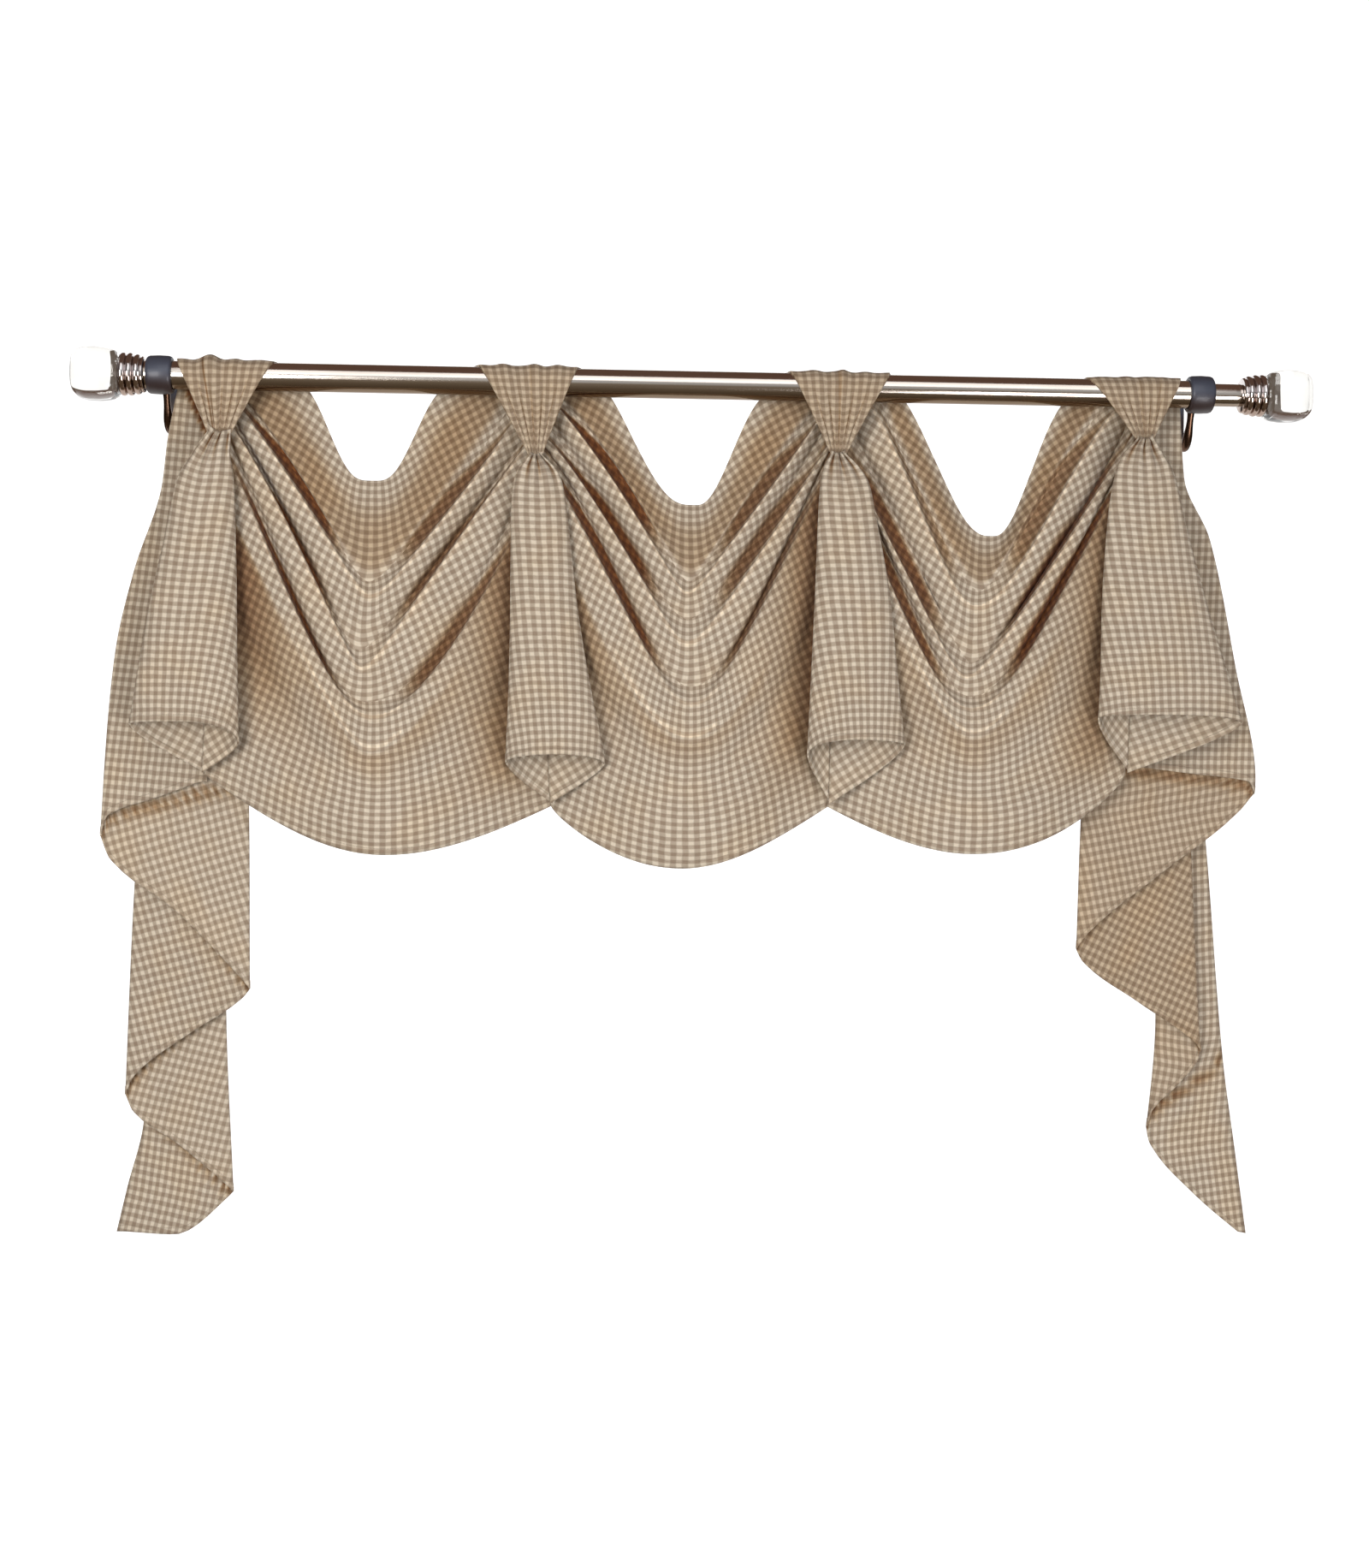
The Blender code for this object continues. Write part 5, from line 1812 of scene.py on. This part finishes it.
# Metres, with the camera's turn and roll in degrees and its lens in millimetres
CAMERA_PLACE = Vector((-0.1221, -2.0813, -0.3729))
CAMERA_TURN = 3.5
CAMERA_ROLL = 0.45
CAMERA_LENS = 49.13
CAMERA_SENSOR = 36.0
FLOOR_FRONT = -4.0
SWEEP_FRONT = 0.2
SWEEP_BACK = 3.2
SWEEP_FLOOR = -1.25
SWEEP_TOP = 2.2
SWEEP_WIDE = 4.4
SWEEP_BEND = 0.9
WHITE = (1.0, 1.0, 1.0)
PAPER = {"Base Color": (0.3, 0.3, 0.3), "Roughness": 0.9, "Emission Color": WHITE, "Emission Strength": 1.0}
FELT = {"Base Color": (0.05, 0.03, 0.022), "Roughness": 1.0}
FLAG_SIZE = (0.9, 0.9)
FLAGS = (
    ("left_screen", Vector((-1.05, -0.25, 0.05)), Vector((1.0, 0.25, 0.0))),
    ("right_screen", Vector((1.1, -0.25, 0.05)), Vector((-1.0, 0.25, 0.0))),
)
AIR_STRENGTH = 0.38
AIR_BEHIND = (0.34, 0.27, 0.22)
AIR_BELOW = (0.50, 0.39, 0.27)
AIR_LEVEL = (1.15, 1.15, 1.15)
AIR_ABOVE = (0.30, 0.17, 0.12)
# How far up, up and back each change in the air starts and ends
BELOW_TO_LEVEL = (-0.3, 0.0)
LEVEL_TO_ABOVE = (0.35, 0.75)
ROOM_TO_BEHIND = (0.0, 0.4)


@dataclass(frozen=True)
class Lamp:
    """A soft rectangular light: its place, the point it faces, width and height, watts and colour."""

    name: str
    place: Vector
    aim: Vector
    size: tuple[float, float]
    power: float
    colour: Colour

    def build(self) -> None:
        """Makes the light. The camera doesn't see it."""
        lamp = bpy.data.lights.new(self.name, "AREA")
        lamp.shape = "RECTANGLE"
        lamp.size, lamp.size_y = self.size
        lamp.energy = self.power
        lamp.color = self.colour
        made = bpy.data.objects.new(self.name, lamp)
        made.location = self.place
        made.rotation_euler = (self.aim - self.place).to_track_quat("-Z", "Y").to_euler()
        made.visible_camera = False
        bpy.context.scene.collection.objects.link(made)


MIDDLE = Vector((0.0, -0.1, -0.35))
LAMPS = (
    Lamp("key", Vector((-1.1, -2.0, -0.2)), MIDDLE, (0.9, 0.9), 30.0, (1.0, 0.985, 0.96)),
    Lamp("fill", Vector((0.9, -1.8, -1.2)), MIDDLE, (1.2, 0.8), 27.0, (0.97, 0.98, 1.0)),
    Lamp("strip", Vector((0.1, -1.6, 0.95)), Vector((0.1, -0.08, 0.0)), (1.8, 1.2), 8.0, WHITE),
)


@dataclass
class Studio:
    """A plain pale sweep and floor, soft lights, dark screens for reflections, and the camera."""

    def stand(self, name: str, bm: BMesh, finish: Material, *unseen: str) -> None:
        """Puts a piece of the stage in place.

        Args:
            name: The piece's name.
            bm: Its mesh, which is freed.
            finish: Its material.
            unseen: The kinds of ray that pass it by.
        """
        made = mesh_object(name, bm, finish)
        made.data.shade_smooth()
        for ray in unseen:
            setattr(made, "visible_" + ray, False)

    def sweep(self, paper: Material) -> None:
        """The floor and the wall behind, joined by one soft curve."""
        bm = bmesh.new()
        bmesh.ops.create_grid(bm, x_segments=8, y_segments=60, size=0.5)
        low, back, bend = SWEEP_FLOOR, SWEEP_BACK, SWEEP_BEND
        front, high = SWEEP_FRONT, SWEEP_TOP
        flat = back - bend - front
        turn = bend * math.pi / 2
        rise = high - low - bend
        total = flat + turn + rise
        for vert in bm.verts:
            run = (vert.co.y + 0.5) * total
            x = vert.co.x * SWEEP_WIDE
            if run < flat:
                vert.co = (x, front + run, low)
            elif run < flat + turn:
                angle = (run - flat) / bend
                vert.co = (x, back - bend + bend * math.sin(angle), low + bend - bend * math.cos(angle))
            else:
                vert.co = (x, back, low + bend + run - flat - turn)
        self.stand("sweep", bm, paper)

    def ground(self, paper: Material) -> None:
        """The rest of the floor, in front of the sweep: out of the light's way and out of reflections."""
        bm = bmesh.new()
        bmesh.ops.create_grid(bm, x_segments=4, y_segments=4, size=0.5)
        for vert in bm.verts:
            run = vert.co.y + 0.5
            vert.co = (vert.co.x * SWEEP_WIDE, blend(FLOOR_FRONT, SWEEP_FRONT, run), SWEEP_FLOOR)
        self.stand("floor", bm, paper, "diffuse", "glossy", "transmission", "shadow")

    def flag(self, name: str, place: Vector, turn: Vector) -> None:
        """A dark screen for glass and polished metal to mirror. Nothing else sees it.

        Args:
            name: The screen's name.
            place: Where its middle stands.
            turn: The way it faces.
        """
        bm = bmesh.new()
        bmesh.ops.create_grid(bm, x_segments=4, y_segments=4, size=0.5)
        facing = turn.to_track_quat("Z", "Y").to_matrix().to_4x4()
        for vert in bm.verts:
            vert.co.x *= FLAG_SIZE[0]
            vert.co.y *= FLAG_SIZE[1]
        bmesh.ops.transform(bm, matrix=Matrix.Translation(place) @ facing, verts=bm.verts)
        self.stand(name, bm, new_material(name + " felt", FELT)[0], "camera", "diffuse", "shadow")

    def surroundings(self) -> None:
        """Plain pale air, which in reflections darkens overhead for polished pieces to mirror."""
        world = bpy.data.worlds.new("studio air")
        world.use_nodes = True
        n = Nodes(world.node_tree)
        way = n.add("ShaderNodeSeparateXYZ")
        n.put(n.add("ShaderNodeTexCoord").outputs["Generated"], way.inputs[0])
        raised = n.between(way.outputs["Z"], *BELOW_TO_LEVEL)
        overhead = n.between(way.outputs["Z"], *LEVEL_TO_ABOVE)
        colour = n.mix(raised, AIR_BELOW, AIR_LEVEL)
        colour = n.mix(n.between(way.outputs["Y"], *ROOM_TO_BEHIND), colour, AIR_BEHIND)
        colour = n.mix(overhead, colour, AIR_ABOVE)
        background = world.node_tree.nodes["Background"]
        n.put(colour, background.inputs["Color"])
        background.inputs["Strength"].default_value = AIR_STRENGTH
        plain = n.add("ShaderNodeBackground")
        set_inputs(plain, {"Color": WHITE})
        shown = n.add("ShaderNodeMixShader")
        seen = n.add("ShaderNodeLightPath").outputs["Is Camera Ray"]
        for output, socket in zip((seen, background.outputs[0], plain.outputs[0]), shown.inputs):
            n.put(output, socket)
        n.put(shown.outputs[0], world.node_tree.nodes["World Output"].inputs["Surface"])
        bpy.context.scene.world = world

    def camera(self) -> None:
        """The camera, a little below the rod and turned slightly to the right."""
        turn, roll = math.radians(CAMERA_TURN), math.radians(CAMERA_ROLL)
        ahead = Vector((math.sin(turn), math.cos(turn), 0.0))
        level = Vector((math.cos(turn), -math.sin(turn), 0.0))
        up = Vector((0.0, 0.0, 1.0))
        right = math.cos(roll) * level + math.sin(roll) * up
        above = -math.sin(roll) * level + math.cos(roll) * up
        lens = bpy.data.cameras.new("camera")
        lens.lens = CAMERA_LENS
        lens.sensor_width = CAMERA_SENSOR
        made = bpy.data.objects.new("camera", lens)
        facing = Matrix((right, above, -ahead)).transposed().to_4x4()
        made.matrix_world = Matrix.Translation(CAMERA_PLACE) @ facing
        bpy.context.scene.collection.objects.link(made)
        bpy.context.scene.camera = made

    def build(self) -> None:
        """Sets the camera, the paper, the air, the lights and the screens, and plain colour handling."""
        self.camera()
        paper = new_material("pale paper", PAPER)[0]
        self.sweep(paper)
        self.ground(paper)
        self.surroundings()
        for lamp in LAMPS:
            lamp.build()
        for name, place, turn in FLAGS:
            self.flag(name, place, turn)
        bpy.context.scene.view_settings.view_transform = "Standard"


# ---------------------------------------------------------------- the whole drape

def main() -> None:
    """Builds the drape piece by piece."""
    logging.basicConfig(level=logging.INFO, format="%(message)s")
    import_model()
    Studio().build()
    cloth = gingham_group()
    drawn = metal_group()
    cotton = ClothFinish(
        Gingham("checked cotton", COTTON_LIGHT, COTTON_DARK).material(cloth),
        Gingham("checked cotton reverse", REVERSE_LIGHT, REVERSE_DARK, shade=PAINTED_SHADE_BEHIND).material(cloth),
    )
    # Each metal's second colour serves both its wear and the painted shade on its underside
    nickel = Metal("polished nickel", (0.78, 0.72, 0.66), (0.20, 0.14, 0.09), 0.06, 0.08)
    steel = Metal("polished steel", (0.72, 0.68, 0.68), (0.36, 0.27, 0.22), 0.05, 0.04)
    slate = Metal("slate enamel", (0.055, 0.062, 0.088), (0.028, 0.016, 0.016), 0.36, 0.1, 0.15, 0.1)
    bronze = Metal("aged bronze", (0.17, 0.10, 0.065), (0.10, 0.055, 0.035), 0.16, 0.1)
    glass = Glass("clear glass", (0.93, 0.925, 0.90)).material()
    Rod(nickel.material(drawn)).build()
    collar_steel = steel.material(drawn)
    clasp_metal = slate.material(drawn)
    arm_metal = bronze.material(drawn)
    for side in (Side.LEFT, Side.RIGHT):
        Finial(side, collar_steel, glass).build()
        Bracket(side, clasp_metal, arm_metal).build()
    for side in Side:
        Swag(cotton, side).build()
    for number in GATHERS:
        Horn(cotton, number).build()
        Tab(cotton, number).build()
    for side in (Side.LEFT, Side.RIGHT):
        Tail(cotton, side).build()


if __name__ == "__main__":
    main()
